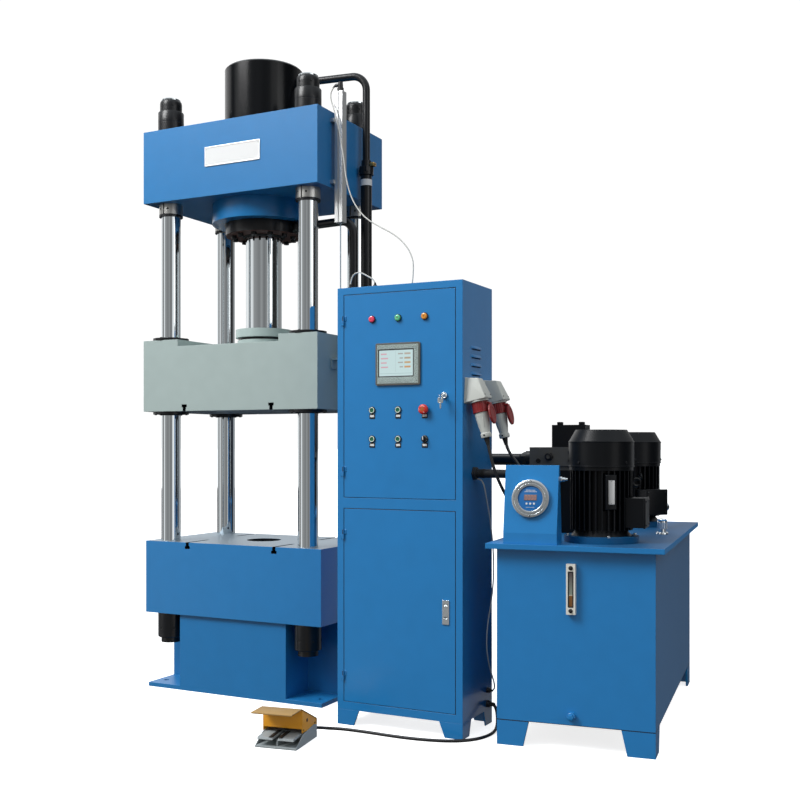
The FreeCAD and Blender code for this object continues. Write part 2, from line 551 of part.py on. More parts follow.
def make_sensor():
    """Stroke sensor: a slotted extrusion clamped to the crown, its plug, and a rod that the slide carries."""
    half, slot, deep = "sensor_side/2", "sensor_slot/2", "(sensor_side/2 - sensor_slot_deep)"
    x, y = "sensor_x", "sensor_y"
    piece = Piece("sensor_body", (x, y, "0"))
    side = [("-" + half, "-" + half), ("-" + slot, "-" + half), ("-" + slot, "-" + deep), (slot, "-" + deep),
            (slot, "-" + half), (half, "-" + half), (half, half), (slot, half), (slot, deep), ("-" + slot, deep),
            ("-" + slot, half), ("-" + half, half)]
    top = "sensor_low + sensor_tall"
    piece.pad("XY", "sensor_low", top, side)
    piece.pocket("XY", "sensor_low - 1", top + " - sensor_end", circles=[("0", "0", "sensor_bore")])
    plug = turned_solid("sensor_plug", [
        ("0", "0"), ("plug_low_dia/2", "0"), ("plug_low_dia/2", "plug_low_tall"),
        ("plug_top_dia/2", "plug_low_tall"), ("plug_top_dia/2", "plug_tall"), ("0", "plug_tall"),
    ], (x, y, top))
    elbow = rod("sensor_elbow", "elbow_dia", "elbow_out", ("sensor_x - elbow_out", y, top + " + elbow_z"), "x")
    clamps = []
    for name, level in (("low", "clamp_low"), ("high", "clamp_high")):
        clamps.append(block("sensor_clamp_" + name, ("crown_w/2", x + " - " + half),
                            ("sensor_y - clamp_w/2", "sensor_y + clamp_w/2"), (level, level + " + clamp_tall")))
    node("position_sensor", piece.body, fused("sensor_head", plug, elbow), *clamps)

    bracket = Piece("rod_bracket")
    low, high, leg = "rod_low - bracket_thick", "rod_low", "slide_w/2 + bracket_leg_thick"
    bracket.pad("XZ", "sensor_y - bracket_half", "sensor_y + bracket_half", [
        ("slide_w/2", low + " - bracket_leg"), (leg, low + " - bracket_leg"), (leg, low),
        ("sensor_x + bracket_over", low), ("sensor_x + bracket_over", high), ("slide_w/2", high),
    ])
    node("sensor_rod", fused("sensor_rod_body", bracket.body, rod("rod", "rod_dia", "rod_top - rod_low",
                                                                  (x, y, "rod_low"))))


# ---------------------------------------------------------------- tubes

def route(points, bend=None):
    """Straight runs joined by tangent arcs: of one bend radius, or else as large as the runs allow."""
    edges, radii, start = [], [], points[0]
    for before, corner, after in zip(points, points[1:], points[2:]):
        back, on = before - corner, after - corner
        half = (math.pi - back.getAngle(on)) / 2
        widest = 0.45 * min(back.Length, on.Length) / math.tan(half)
        radius = min(bend, widest) if bend else widest
        reach = radius * math.tan(half)
        entry = corner + back * (reach / back.Length)
        leave = corner + on * (reach / on.Length)
        middle = back * (1 / back.Length) + on * (1 / on.Length)
        top = corner + middle * ((radius / math.cos(half) - radius) / middle.Length)
        edges.append(Part.LineSegment(start, entry).toShape())
        edges.append(Part.Arc(entry, top, leave).toShape())
        radii.append(radius)
        start = leave
    edges.append(Part.LineSegment(start, points[-1]).toShape())
    return Part.Wire(edges), radii


def section(dia, start, along, sides):
    """A cord's section: a polygon on the cord's own circle, square to its start."""
    turn = FreeCAD.Rotation(FreeCAD.Vector(0, 0, 1), along)
    ring = [start + turn.multVec(FreeCAD.Vector(math.cos(a), math.sin(a), 0) * (dia / 2))
            for a in (2 * math.pi * i / sides for i in range(sides + 1))]
    return Part.makePolygon(ring)


def bent_bar(path, dia):
    """A round bar of cylinders and torus bends, one for each edge of a path."""
    bars = []
    for edge in path.Edges:
        start, along = edge.valueAt(edge.FirstParameter), edge.tangentAt(edge.FirstParameter)
        if isinstance(edge.Curve, Part.Line):
            bars.append(Part.makeCylinder(dia / 2, edge.Length, start, along))
        else:
            disc = Part.Face(Part.Wire([Part.Circle(start, along, dia / 2).toShape()]))
            arc = edge.Curve
            bars.append(disc.revolve(arc.Center, arc.Axis, math.degrees(edge.Length / arc.Radius)))
    return bars[0].multiFuse(bars[1:]).removeSplitter()


def tube(name, dia, points, bend=None, sides=0):
    """A bar along a route; its volume is compared with its section times its length."""
    spots = [FreeCAD.Vector(*p) for p in points]
    path, radii = route(spots, bend)
    if sides:
        solid = path.makePipeShell([section(dia, spots[0], spots[1] - spots[0], sides)], True, False)
        area = sides / 2 * math.sin(2 * math.pi / sides) * dia ** 2 / 4
    else:
        solid = bent_bar(path, dia)
        area = math.pi * dia ** 2 / 4
    expected = area * path.Length
    if abs(solid.Volume / expected - 1) > 0.01:
        raise RuntimeError("%s: volume %.0f, expected %.0f" % (name, solid.Volume, expected))
    print("%s: length %.0f mm, smallest radius %.0f mm" % (name, path.Length, min(radii)))
    made = doc.addObject("Part::Feature", name)
    made.Shape = solid
    return made


def unit_spot(x, y, z):
    """A point of the power unit's own frame in the press's frame."""
    turn = FreeCAD.Rotation(FreeCAD.Vector(0, 0, 1), size("unit_turn"))
    spot = turn.multVec(FreeCAD.Vector(size(x), size(y), 0))
    return (spot.x + size("unit_x"), spot.y + size("unit_y"), size(z))


def make_pipes():
    """Feed and return pipes: from the cylinder and its gland, down the crown's side, to the valves."""
    x, low = size("pipe_x"), size("pipe_low")
    main, upper, back = size("main_dia"), size("feed_dia"), size("return_dia")
    split, split_top = size("union_low"), size("union_low + union_tall")
    angle = math.radians(feed_angle())
    reach = size("port_reach")
    start = (reach * math.cos(angle), reach * math.sin(angle), size("feed_z"))
    feed = tube("feed_pipe_upper", upper, [start, (x, size("feed_y"), size("feed_z")),
                                           (x, size("feed_y"), split_top)], 2 * upper)
    end = unit_spot("valve_x - port_len", "port_y2", "pipe_low")
    before = unit_spot("valve_x - port_len - pipe_approach", "port_y2", "pipe_low")
    lower = tube("feed_pipe_lower", main, [(x, size("feed_y"), split), (x, size("feed_y"), low), before, end],
                 1.6 * main)
    angle = math.radians(return_angle())
    reach = size("gland_reach")
    level = size(GLAND_LOW + " + gland_tall/2")
    start = (reach * math.cos(angle), reach * math.sin(angle), level)
    end = unit_spot("valve_x - port_len", "port_y1", "pipe_low")
    before = unit_spot("valve_x - port_len - pipe_approach", "port_y1", "pipe_low")
    lift = (x, size("return_y"), low)
    returned = tube("return_pipe", back, [start, (x, size("return_y"), level), lift, before, end], 1.8 * back)
    node("pipes", feed, lower, returned)

    feed_union = turned_solid("feed_union", [
        ("0", "0"), ("union_dia/2", "0"), ("union_dia/2", "union_tall/2"), ("union_neck/2", "union_tall/2"),
        ("union_neck/2", "union_tall"), ("0", "union_tall"),
    ], ("pipe_x", "feed_y", "union_low"))
    tap = rod("union_tap", "tap_dia", "tap_len", ("pipe_x", "feed_y", "union_low + union_tall*0.7"), "x")
    ends = []
    for i, (port, dia) in enumerate((("port_y1", "return_dia"), ("port_y2", "main_dia"))):
        made = Piece("pipe_end_%d" % i, ("unit_x", "unit_y", "0"), "unit_turn")
        made.pad("YZ", "valve_x - port_len", "valve_x", circles=[(port, "pipe_low", dia + " + 2*port_wall")])
        ends.append(made.body)
    node("pipe_unions", fused("union_body", feed_union, tap), *ends)


# ---------------------------------------------------------------- control cabinet

CAB_RIGHT = "(cab_x + cab_w)"
CAB_BACK = "(cab_y + cab_d)"
DOOR_LEFT = "(cab_x + margin)"
DOOR_RIGHT = "(cab_x + cab_w - margin)"

# Cable glands on the cabinet: on the roof from its front left corner, and on the right side.
ROOF_GLANDS = {"sensor_gland": (270, 176), "loop_gland_left": (20, 78), "loop_gland_right": (140, 81)}


def make_cabinet():
    outline = rectangle("cab_x", CAB_RIGHT, "cab_y", CAB_BACK)
    piece = Piece("cabinet_case")
    piece.pad("XY", "cab_low", "cab_top", outline)
    inside = ("cab_x + sheet", CAB_RIGHT + " - sheet")
    depth = ("cab_y + sheet", CAB_BACK + " - sheet")
    for low, high, door_low, door_top in (
        ("cab_low + sheet", "shelf_z", "low_door_z", "low_door_top"),
        ("shelf_z + 2*sheet", "cab_top - sheet", "up_door_z", "up_door_top"),
    ):
        piece.pocket("XZ", depth[0], depth[1], rectangle(inside[0], inside[1], low, high))
        piece.pocket("XZ", "cab_y - 1", "cab_y + sheet + 1", rectangle(DOOR_LEFT, DOOR_RIGHT, door_low, door_top))
    louvre = piece.pocket("YZ", CAB_RIGHT + " - sheet - 1", CAB_RIGHT + " + 1",
                          rectangle("cab_y + louvre_y", "cab_y + louvre_y + louvre_w", "louvre_z",
                                    "louvre_z + louvre_tall"))
    piece.row(louvre, "Z", "louvre_pitch", "louvre_count")
    glands = []
    for name, dia, y, level in (("trunk_gland", "trunk_dia", "trunk_y", "trunk_z"),
                                ("floor_cord_gland", "thin_cord", "cord_gland_y", "floor_cord_z"),
                                ("pedal_cord_gland", "pedal_cord", "cord_gland_y", "pedal_cord_z")):
        glands.append(rod(name, dia + " + 2*gland_wall", "side_gland", (CAB_RIGHT, "cab_y + " + y, level), "x"))
    for name, (x, y) in ROOF_GLANDS.items():
        glands.append(rod(name, "roof_gland", "roof_gland_tall", ("cab_x + %d" % x, "cab_y + %d" % y, "cab_top")))
    node("cabinet_shell", fused("cabinet_shell_body", piece.body, *glands))


def corner_foot(name, x, y, sx, sy, tall, wide, base, deep, base_deep, thick, at, turn):
    """A folded corner foot: two tapered legs of plate that meet at the outer corner."""
    piece = Piece(name, at, turn)

    def leg(plane, here, out, other, side, top_w, low_w):
        inner = "%s + (%s)*%s" % (other, side, thick)
        low, high = (other, inner) if side == "1" else (inner, other)
        piece.pad(plane, low, high, [
            (here, "0"), ("%s + (%s)*%s" % (here, out, low_w), "0"),
            ("%s + (%s)*%s" % (here, out, top_w), tall), (here, tall),
        ])

    leg("XZ", x, sx, y, sy, wide, base)
    leg("YZ", y, sy, x, sx, deep, base_deep)
    return piece.body


def make_cabinet_feet():
    feet = []
    for i, (x, y, sx, sy) in enumerate((("cab_x", "cab_y", "1", "1"), (CAB_RIGHT, "cab_y", "-1", "1"),
                                        (CAB_RIGHT, CAB_BACK, "-1", "-1"), ("cab_x", CAB_BACK, "1", "-1"))):
        feet.append(corner_foot("cabinet_foot_%d" % i, x, y, sx, sy, "cab_low", "foot_w", "foot_base_w", "foot_deep",
                                "foot_base_deep", "foot_thick", ("0", "0", "0"), "0"))
    node("cabinet_feet", *feet)


def make_control_panel():
    """Mounting plate on four studs, with rails of breakers, contactors and the controller."""
    back = CAB_BACK + " - sheet"
    face = "(%s - stud_tall - plate_thick)" % back
    left = "(cab_x + (cab_w - plate_w)/2)"
    piece = Piece("control_plate")
    piece.pad("XZ", face, face + " + plate_thick",
              rectangle(left, left + " + plate_w", "plate_z", "plate_z + plate_tall"))
    for x in ("stud_in", "plate_w - stud_in"):
        for z in ("stud_in", "plate_tall - stud_in"):
            piece.pad("XZ", face + " + plate_thick", back,
                      circles=[("%s + %s" % (left, x), "plate_z + %s" % z, "stud_dia")])
    for drop, tall, deep, pitch, wide, count in CONTROL_GEAR:
        low = "plate_z + plate_tall - %d" % drop
        item = piece.pad("XZ", "%s - %d" % (face, deep), face,
                         rectangle("%s + gear_in" % left, "%s + gear_in + %d" % (left, wide),
                                   low, "%s + %d" % (low, tall)))
        piece.row(item, "X", str(pitch), str(count))
    node("control_panel", piece.body)


# Rows of control gear: drop from the plate's top, height, depth, pitch, width and count.
CONTROL_GEAR = ((220, 100, 60, 36, 34, 11), (400, 100, 80, 70, 62, 6), (660, 140, 90, 150, 130, 3))
HINGE_X = "(cab_x + margin + door_gap/2)"
HINGE_Y = "(cab_y - hinge_dia/2)"


def hinge_half(name, level, on_door):
    """One knuckle with its leaf: the frame's carries the pin, the door's has the bore."""
    piece = Piece(name)
    low, high = (level, level + " + hinge_half") if on_door else (level + " - hinge_half", level)
    knuckle = [(HINGE_X, HINGE_Y, "hinge_dia")]
    if on_door:
        knuckle.append((HINGE_X, HINGE_Y, "hinge_pin + 2*gap"))
        low = low + " + gap"
    piece.pad("XY", low, high, circles=knuckle)
    edge = (HINGE_X + " + door_gap/2", HINGE_X + " + leaf_w") if on_door else (
        HINGE_X + " - leaf_w", HINGE_X + " - door_gap/2")
    leaf = [(edge[0], "cab_y - leaf_thick"), (edge[1], "cab_y - leaf_thick"), (edge[1], "cab_y"), (edge[0], "cab_y")]
    piece.pad("XY", low, high, leaf)
    if not on_door:
        piece.pad("XY", high, high + " + hinge_half - 1", circles=[(HINGE_X, HINGE_Y, "hinge_pin")])
    return piece.body


HINGE_LEVELS = {"upper": ("up_door_top - hinge_in", "up_door_z + hinge_in"),
                "lower": ("low_door_top - hinge_in", "low_door_z + hinge_in")}


def make_hinges():
    halves = []
    for door, levels in HINGE_LEVELS.items():
        for i, level in enumerate(levels):
            halves.append(hinge_half("frame_hinge_%s_%d" % (door, i), level, False))
    node("door_hinges", *halves)


PANEL_BUTTONS = (("start_button", "col_1", "row_1"), ("stop_button", "col_2", "row_1"),
                 ("up_button", "col_1", "row_2"), ("down_button", "col_2", "row_2"))


def make_door(name, low, top, holes, slots):
    """A door of folded sheet: a flat face with a return flange on all four sides."""
    left, right = DOOR_LEFT + " + door_gap", DOOR_RIGHT + " - door_gap"
    z0, z1 = low + " + door_gap", top + " - door_gap"
    piece = Piece(name)
    piece.pad("XZ", "cab_y", "cab_y + door_deep", rectangle(left, right, z0, z1))
    wall = "door_sheet"
    piece.pocket("XZ", "cab_y + " + wall, "cab_y + door_deep + 1",
                 rectangle("%s + %s" % (left, wall), "%s - %s" % (right, wall),
                           "%s + %s" % (z0, wall), "%s - %s" % (z1, wall)))
    if holes:
        piece.pocket("XZ", "cab_y - 1", "cab_y + %s + 1" % wall, circles=holes)
    for slot in slots:
        piece.pocket("XZ", "cab_y - 1", "cab_y + %s + 1" % wall, slot)
    return piece.body


def make_upper_door():
    holes = [(x, "lamp_z", "panel_hole + 2*fit") for x in ("col_1", "col_2", "col_3")]
    holes += [(x, z, "panel_hole + 2*fit") for z in ("row_1", "row_2") for x in ("col_1", "col_2", "col_3")]
    holes.append(("lock_x", "lock_z", "panel_hole + 2*fit"))
    half_w, half_tall = "screen_w/2 - screen_body_in + fit", "screen_tall/2 - screen_body_in + fit"
    cutout = rectangle("screen_x - (%s)" % half_w, "screen_x + %s" % half_w,
                       "screen_z - (%s)" % half_tall, "screen_z + %s" % half_tall)
    face = make_door("upper_door_pan", "up_door_z", "up_door_top", holes, [cutout])
    halves = [hinge_half("upper_door_hinge_%d" % i, level, True) for i, level in enumerate(HINGE_LEVELS["upper"])]
    node("upper_door", face, *halves)

    screen = Piece("touch_screen")
    front = "cab_y - screen_thick"
    screen.pad("XZ", front, "cab_y", rectangle("screen_x - screen_w/2", "screen_x + screen_w/2",
                                               "screen_z - screen_tall/2", "screen_z + screen_tall/2"))
    body_w, body_tall = "(screen_w/2 - screen_body_in)", "(screen_tall/2 - screen_body_in)"
    screen.pad("XZ", "cab_y", "cab_y + screen_body_deep",
               rectangle("screen_x - " + body_w, "screen_x + " + body_w, "screen_z - " + body_tall,
                         "screen_z + " + body_tall))
    glass_x, glass_z = "(screen_x - glass_left)", "(screen_z + glass_up)"
    screen.pocket("XZ", front, front + " + glass_deep",
                  rectangle(glass_x + " - glass_w/2", glass_x + " + glass_w/2", glass_z + " - glass_tall/2",
                            glass_z + " + glass_tall/2"))
    node("touch_screen", screen.body)

    lamps = []
    for i, x in enumerate(("col_1", "col_2", "col_3")):
        lamp = turned_solid("pilot_lamp_%d" % i, [
            ("0", "-barrel_deep"), ("panel_hole/2", "-barrel_deep"), ("panel_hole/2", "0"), ("lamp_dia/2", "0"),
            ("lamp_dia/2", "lamp_rim"), ("lamp_dia/2 - 3", "lamp_tall"), ("0", "lamp_tall"),
        ])
        face_out(lamp, x, "lamp_z")
        lamps.append(lamp)
    node("pilot_lamps", *lamps)


def face_out(body, x, z, proud="0"):
    """Turn a piece made about Z so that its top looks out of the cabinet's front at (x, z)."""
    place(body, (x, "cab_y - (%s)" % proud, z))
    body.Placement.Rotation = FreeCAD.Rotation(FreeCAD.Vector(1, 0, 0), 90)


def tag(name, x, z):
    """The legend plate under a fitting."""
    top = z + " - bezel_dia/2 - gap"
    return block(name, (x + " - tag_w/2", x + " + tag_w/2"), ("cab_y - tag_thick", "cab_y"),
                 (top + " - tag_tall", top))


def make_panel_fittings():
    solids = []
    bore = "push_dia/2 + gap"
    for name, x, z in PANEL_BUTTONS:
        bezel = turned_solid(name + "_bezel", [
            (bore, "bezel_tall"), ("bezel_dia/2 - 1", "bezel_tall"), ("bezel_dia/2", "0"), ("panel_hole/2", "0"),
            ("panel_hole/2", "-barrel_deep"), ("0", "-barrel_deep"), ("0", "-push_len - push_travel"),
            (bore, "-push_len - push_travel"),
        ])
        face_out(bezel, x, z)
        solids += [bezel, tag(name + "_tag", x, z)]
        push = turned_solid(name + "_body", [
            ("0", "bezel_tall - push_len"), ("push_dia/2", "bezel_tall - push_len"),
            ("push_dia/2", "bezel_tall"), ("0", "bezel_tall"),
        ])
        face_out(push, x, z)
        node(name, push)
    stem = "stop_stem/2 + gap"
    for name, z in (("emergency", "row_1"), ("selector", "row_2")):
        bezel = turned_solid(name + "_bezel", [
            (stem, "bezel_tall"), ("bezel_dia/2 - 1", "bezel_tall"), ("bezel_dia/2", "0"), ("panel_hole/2", "0"),
            ("panel_hole/2", "-barrel_deep"), ("0", "-barrel_deep"), ("0", "-push_len - push_travel"),
            (stem, "-push_len - push_travel"),
        ])
        face_out(bezel, "col_3", z)
        solids += [bezel, tag(name + "_tag", "col_3", z)]
    bore = "lock_bore/2 + gap"
    lock = turned_solid("lock_housing", [
        (bore, "lock_tall"), ("lock_dia/2 - 1", "lock_tall"), ("lock_dia/2", "0"), ("panel_hole/2", "0"),
        ("panel_hole/2", "-lock_deep"), ("0", "-lock_deep"), ("0", "4 - lock_deep"), (bore, "4 - lock_deep"),
    ])
    face_out(lock, "lock_x", "lock_z")
    solids.append(lock)
    node("panel_bezels", *solids)

    head, foot = "bezel_tall + stop_stand", "bezel_tall - push_len"
    knob = turned_solid("emergency_button_body", [
        ("0", foot), ("stop_stem/2", foot), ("stop_stem/2", head), ("stop_dia/2", head),
        ("stop_dia/2", head + " + stop_rim"), ("stop_dia/2 - stop_crown", head + " + stop_tall"),
        ("0", head + " + stop_tall"),
    ])
    face_out(knob, "col_3", "row_1")
    node("emergency_button", knob)

    grip = Piece("selector_grip")
    grip_low = "2*bezel_tall"
    grip.turned([("0", foot), ("stop_stem/2", foot), ("stop_stem/2", "bezel_tall + gap"),
                 ("knob_base/2", "bezel_tall + gap"), ("knob_base/2", grip_low), ("0", grip_low)])
    grip.pad("XY", grip_low, grip_low + " + grip_tall",
             [("-grip_w/2", "-knob_base/2"), ("grip_w/2", "-knob_base/2"), ("grip_w/2 - 1", "knob_base/2"),
              ("1 - grip_w/2", "knob_base/2")])
    face_out(grip.body, "col_3", "row_2")
    node("selector_knob", grip.body)

    key = Piece("lock_key")
    key_in, out = "4 - lock_deep + gap", "lock_tall + key_out"
    key.turned([("0", key_in), ("lock_bore/2", key_in), ("lock_bore/2", "lock_tall"), ("0", "lock_tall")])
    shank, bow, neck = "key_shank/2", "key_bow/2", "lock_tall + key_out/3"
    key.pad("XZ", "-key_thick/2", "key_thick/2", [
        ("-" + shank, "lock_tall"), (shank, "lock_tall"), (shank, neck), (bow, neck + " + 4"), (bow, out + " - 4"),
        (bow + " - 4", out), ("4 - " + bow, out), ("-" + bow, out + " - 4"), ("-" + bow, neck + " + 4"),
        ("-" + shank, neck),
    ])
    key.pocket("XZ", "-key_thick", "key_thick", circles=[("0", out + " - 9", "key_hole")])
    face_out(key.body, "lock_x", "lock_z")
    node("door_key", key.body)


def make_lower_door():
    half, low, high = "(latch_w/2 - latch_lip)", "latch_z + latch_lip", "latch_z + latch_tall - latch_lip"
    cutout = rectangle("latch_x - " + half, "latch_x + " + half, low, high)
    face = make_door("lower_door_pan", "low_door_z", "low_door_top", [], [cutout])
    halves = [hinge_half("lower_door_hinge_%d" % i, level, True) for i, level in enumerate(HINGE_LEVELS["lower"])]
    node("lower_door", face, *halves)

    plate = Piece("latch_body")
    plate.pad("XZ", "cab_y - latch_thick", "cab_y", rectangle("latch_x - latch_w/2", "latch_x + latch_w/2",
                                                              "latch_z", "latch_z + latch_tall"))
    plate.pad("XZ", "cab_y", "cab_y + door_deep", rectangle(
        "latch_x - %s + fit" % half, "latch_x + %s - fit" % half, low + " + fit", high + " - fit"))
    well_low, well_high = "latch_z + latch_tall/4", "latch_z + latch_tall - 3*latch_lip"
    plate.pocket("XZ", "cab_y - latch_thick - 1", "cab_y + 3*latch_thick",
                 rectangle("latch_x - lever_w/2", "latch_x + lever_w/2", well_low, well_high))
    node("latch_plate", plate.body)

    lever = Piece("latch_lever")
    side, pivot = "(lever_w/2 - gap)", well_high + " - lever_pin"
    lever.pad("XZ", "cab_y - latch_thick", "cab_y + lever_pin/2",
              rectangle("latch_x - " + side, "latch_x + " + side, well_low + " + lever_pin", pivot))
    lever.pad("YZ", "latch_x - " + side, "latch_x + " + side, circles=[("cab_y + lever_pin/2", pivot, "lever_pin")])
    node("latch_lever", lever.body)


# ---------------------------------------------------------------- wall sockets and plugs

def leaning(body, y, along="socket_mid"):
    """Set a piece made about Z on a socket's slanted underside, pointing down and out."""
    lean = math.radians(size("socket_lean"))
    reach = size(along)
    x = size(CAB_RIGHT) + reach * math.cos(lean)
    z = size("socket_z") + reach * math.sin(lean)
    body.Placement = FreeCAD.Placement(FreeCAD.Vector(x, size(y), z),
                                       FreeCAD.Rotation(FreeCAD.Vector(0, 1, 0), -size("socket_lean")))


def make_sockets():
    housings, plugs = [], []
    tan = "tan(socket_lean * 1deg)"
    for i, y in enumerate(("socket_y1", "socket_y2")):
        side = ("%s - socket_w/2" % y, "%s + socket_w/2" % y)
        piece = Piece("socket_housing_%d" % i)
        piece.pad("XZ", side[0], side[1], [
            (CAB_RIGHT, "socket_z"), (CAB_RIGHT + " + socket_out", "socket_z + socket_out*%s" % tan),
            (CAB_RIGHT + " + socket_top_out", "socket_top"), (CAB_RIGHT, "socket_top"),
        ])
        collar = "ring_dia/2 + ring_collar"
        ring = turned_solid("socket_ring_%d" % i, [
            ("0", "0"), (collar, "0"), (collar, "-ring_collar"), ("ring_dia/2", "-ring_collar"),
            ("ring_dia/2", "-ring_tall"), ("0", "-ring_tall"),
        ])
        leaning(ring, y)
        housings += [piece.body, ring]
        plug = turned_solid("plug_%d" % i, [
            ("0", "-ring_tall"), ("plug_dia/2", "-ring_tall"), ("plug_end/2", "-ring_tall - plug_len"),
            ("0", "-ring_tall - plug_len"),
        ])
        leaning(plug, y)
        plugs.append(plug)
        lid = Piece("socket_lid_%d" % i)
        edge, drop, half = "(ring_dia/2 + lid_pin_r + gap)", "-lid_pin_drop", "lid_pin_len/2"
        arm = "lid_pin_drop + lid_pin_len/2"
        lid.pad("XZ", "-" + half, half, circles=[(edge, drop, "2*lid_pin_r")])
        lid.pad("XZ", "-%s + 3" % half, half + " - 3", [
            (edge, drop + " + lid_pin_r"), (edge + " + lid_thick + 1", drop),
            (edge + " + lid_thick + 1", "-(%s)" % arm), (edge + " + 3", "-(%s)" % arm),
            (edge + " + 1", drop + " - lid_pin_r"),
        ])
        lid.pad("YZ", edge + " + 3", edge + " + 3 + lid_thick", circles=[("0", "-22 - lid_dia/2", "lid_dia")])
        leaning(lid.body, y)
        node("socket_lid_%s" % ("front", "rear")[i], lid.body)
    node("wall_sockets", *housings)
    node("plugs", *plugs)


# ---------------------------------------------------------------- hydraulic power unit

UNIT = ("unit_x", "unit_y", "0")


def unit_piece(name, at=("0", "0"), own_turn="0"):
    """A body in the power unit's own frame, moved within it by at and turned there about Z."""
    piece = Piece(name)
    turn = FreeCAD.Rotation(FreeCAD.Vector(0, 0, 1), size("unit_turn + " + own_turn))
    piece.body.Placement = FreeCAD.Placement(FreeCAD.Vector(*unit_spot(at[0], at[1], "0")), turn)
    return piece


def make_tank():
    body = unit_piece("oil_tank")
    left, right, front, back = "lid_over", "lid_w - lid_over", "lid_over", "lid_d - lid_over"
    roof = "lid_top - lid_tall"
    body.pad("XY", "tank_low", roof, rectangle(left, right, front, back))
    wall = "tank_wall"
    body.pocket("XY", "tank_low + " + wall, roof, rectangle(left + " + " + wall, right + " - " + wall,
                                                          front + " + " + wall, back + " - " + wall))
    body.pad("XZ", front + " - drain_len", front, circles=[("gauge_x", "drain_z", "drain_dia")])
    node("oil_tank", body.body)

    feet = []
    for i, (x, y, sx, sy) in enumerate(((left, front, "1", "1"), (right, front, "-1", "1"),
                                        (right, back, "-1", "-1"), (left, back, "1", "-1"))):
        feet.append(corner_foot("tank_foot_%d" % i, x, y, sx, sy, "tank_low", "tank_foot_w", "tank_foot_base",
                                "tank_foot_w", "tank_foot_base", "tank_foot_thick", UNIT, "unit_turn"))
    node("tank_feet", *feet)

    lid = unit_piece("tank_lid_plate")
    lid.pad("XY", roof, "lid_top", rectangle("0", "lid_w", "0", "lid_d"))
    for x in ("lid_gland_x", "lid_gland_x + lid_gland_pitch"):
        lid.pad("XY", "lid_top", "lid_top + lid_gland_tall", circles=[(x, "lid_gland_y", "lid_gland_dia")])
    cap = unit_piece("filler_cap", ("cap_x", "cap_y"))
    neck, top = "lid_top + cap_flange_tall", "lid_top + cap_tall"
    head = neck + " + cap_neck_tall"
    cap.turned([("0", "lid_top"), ("cap_flange/2", "lid_top"), ("cap_flange/2", neck), ("cap_neck/2", neck),
                ("cap_neck/2", head), ("cap_dia/2", head), ("cap_dia/2", top + " - cap_edge"),
                ("cap_dia/2 - cap_edge", top), ("0", top)])
    node("tank_lid", lid.body, cap.body)

    gauge = unit_piece("level_body")
    half, high = "level_w/2", "level_z + level_tall"
    face = front + " - level_thick"
    gauge.pad("XZ", face, front, rectangle("gauge_x - " + half, "gauge_x + " + half, "level_z", high))
    gauge.pocket("XZ", face, face + " + level_slot_deep", rectangle(
        "gauge_x - level_rim", "gauge_x + level_rim", "level_z + level_end", high + " - level_end"))
    node("level_gauge", gauge.body)


def console_profile(inset):
    """Side outline of the console, from the lid up; the inner one is moved in by the sheet."""
    top, fold = "lid_top + console_tall", "lid_top + console_fold"
    front, lean, back = "console_y", "console_y + console_lean", "console_back"
    if not inset:
        return [(front, "lid_top"), (front, fold), (lean, top), (lean + " + console_rim", top), (back, "lid_top")]
    wall = "console_sheet"
    return [("%s + %s" % (front, wall), "lid_top - 1"), ("%s + %s" % (front, wall), fold),
            ("%s + %s" % (lean, wall), "%s - %s" % (top, wall)),
            ("%s + console_rim + %s" % (lean, "2*" + wall), "%s - %s" % (top, wall)),
            ("%s + %s" % (back, "2*" + wall), "lid_top - 1")]


def make_console():
    """Wedge console of folded sheet, open at the back, with the pressure gauge in its slanted face."""
    shell = unit_piece("console_case")
    left, right = "console_x", "console_x + console_w"
    shell.pad("YZ", left, right, console_profile(False))
    shell.pocket("YZ", left + " + console_sheet", right + " - console_sheet", console_profile(True))
    lean = math.degrees(math.atan2(size("console_lean"), size("console_tall - console_fold")))
    rise = size("dial_z - lid_top - console_fold")
    y = size("console_y") + rise * math.tan(math.radians(lean))
    tilt = FreeCAD.Rotation(FreeCAD.Vector(1, 0, 0), 90 - lean)
    turn = FreeCAD.Rotation(FreeCAD.Vector(0, 0, 1), size("unit_turn"))
    spot = FreeCAD.Placement(FreeCAD.Vector(*unit_spot("dial_x", str(y), "dial_z")), turn.multiply(tilt))
    hole = doc.addObject("Part::Cylinder", "dial_hole")
    bind(hole, Radius="dial_body/2 + fit", Height="30")
    hole.Placement = spot.multiply(FreeCAD.Placement(FreeCAD.Vector(0, 0, -15), FreeCAD.Rotation()))
    node("gauge_console", cut("gauge_console_body", shell.body, hole))
    dial = turned_solid("dial_case", [
        ("0", "-dial_deep"), ("dial_body/2", "-dial_deep"), ("dial_body/2", "0"), ("dial_dia/2", "0"),
        ("dial_dia/2 - 3", "dial_thick"), ("dial_dia/2 - dial_rim", "dial_thick"),
        ("dial_dia/2 - dial_rim", "dial_thick - dial_face"), ("0", "dial_thick - dial_face"),
    ])
    dial.Placement = spot
    node("pressure_gauge", dial)


def make_motors():
    make_motor("motor_front", "motor_y1", "0")
    make_motor("motor_rear", "motor_y2", "rear_turn")


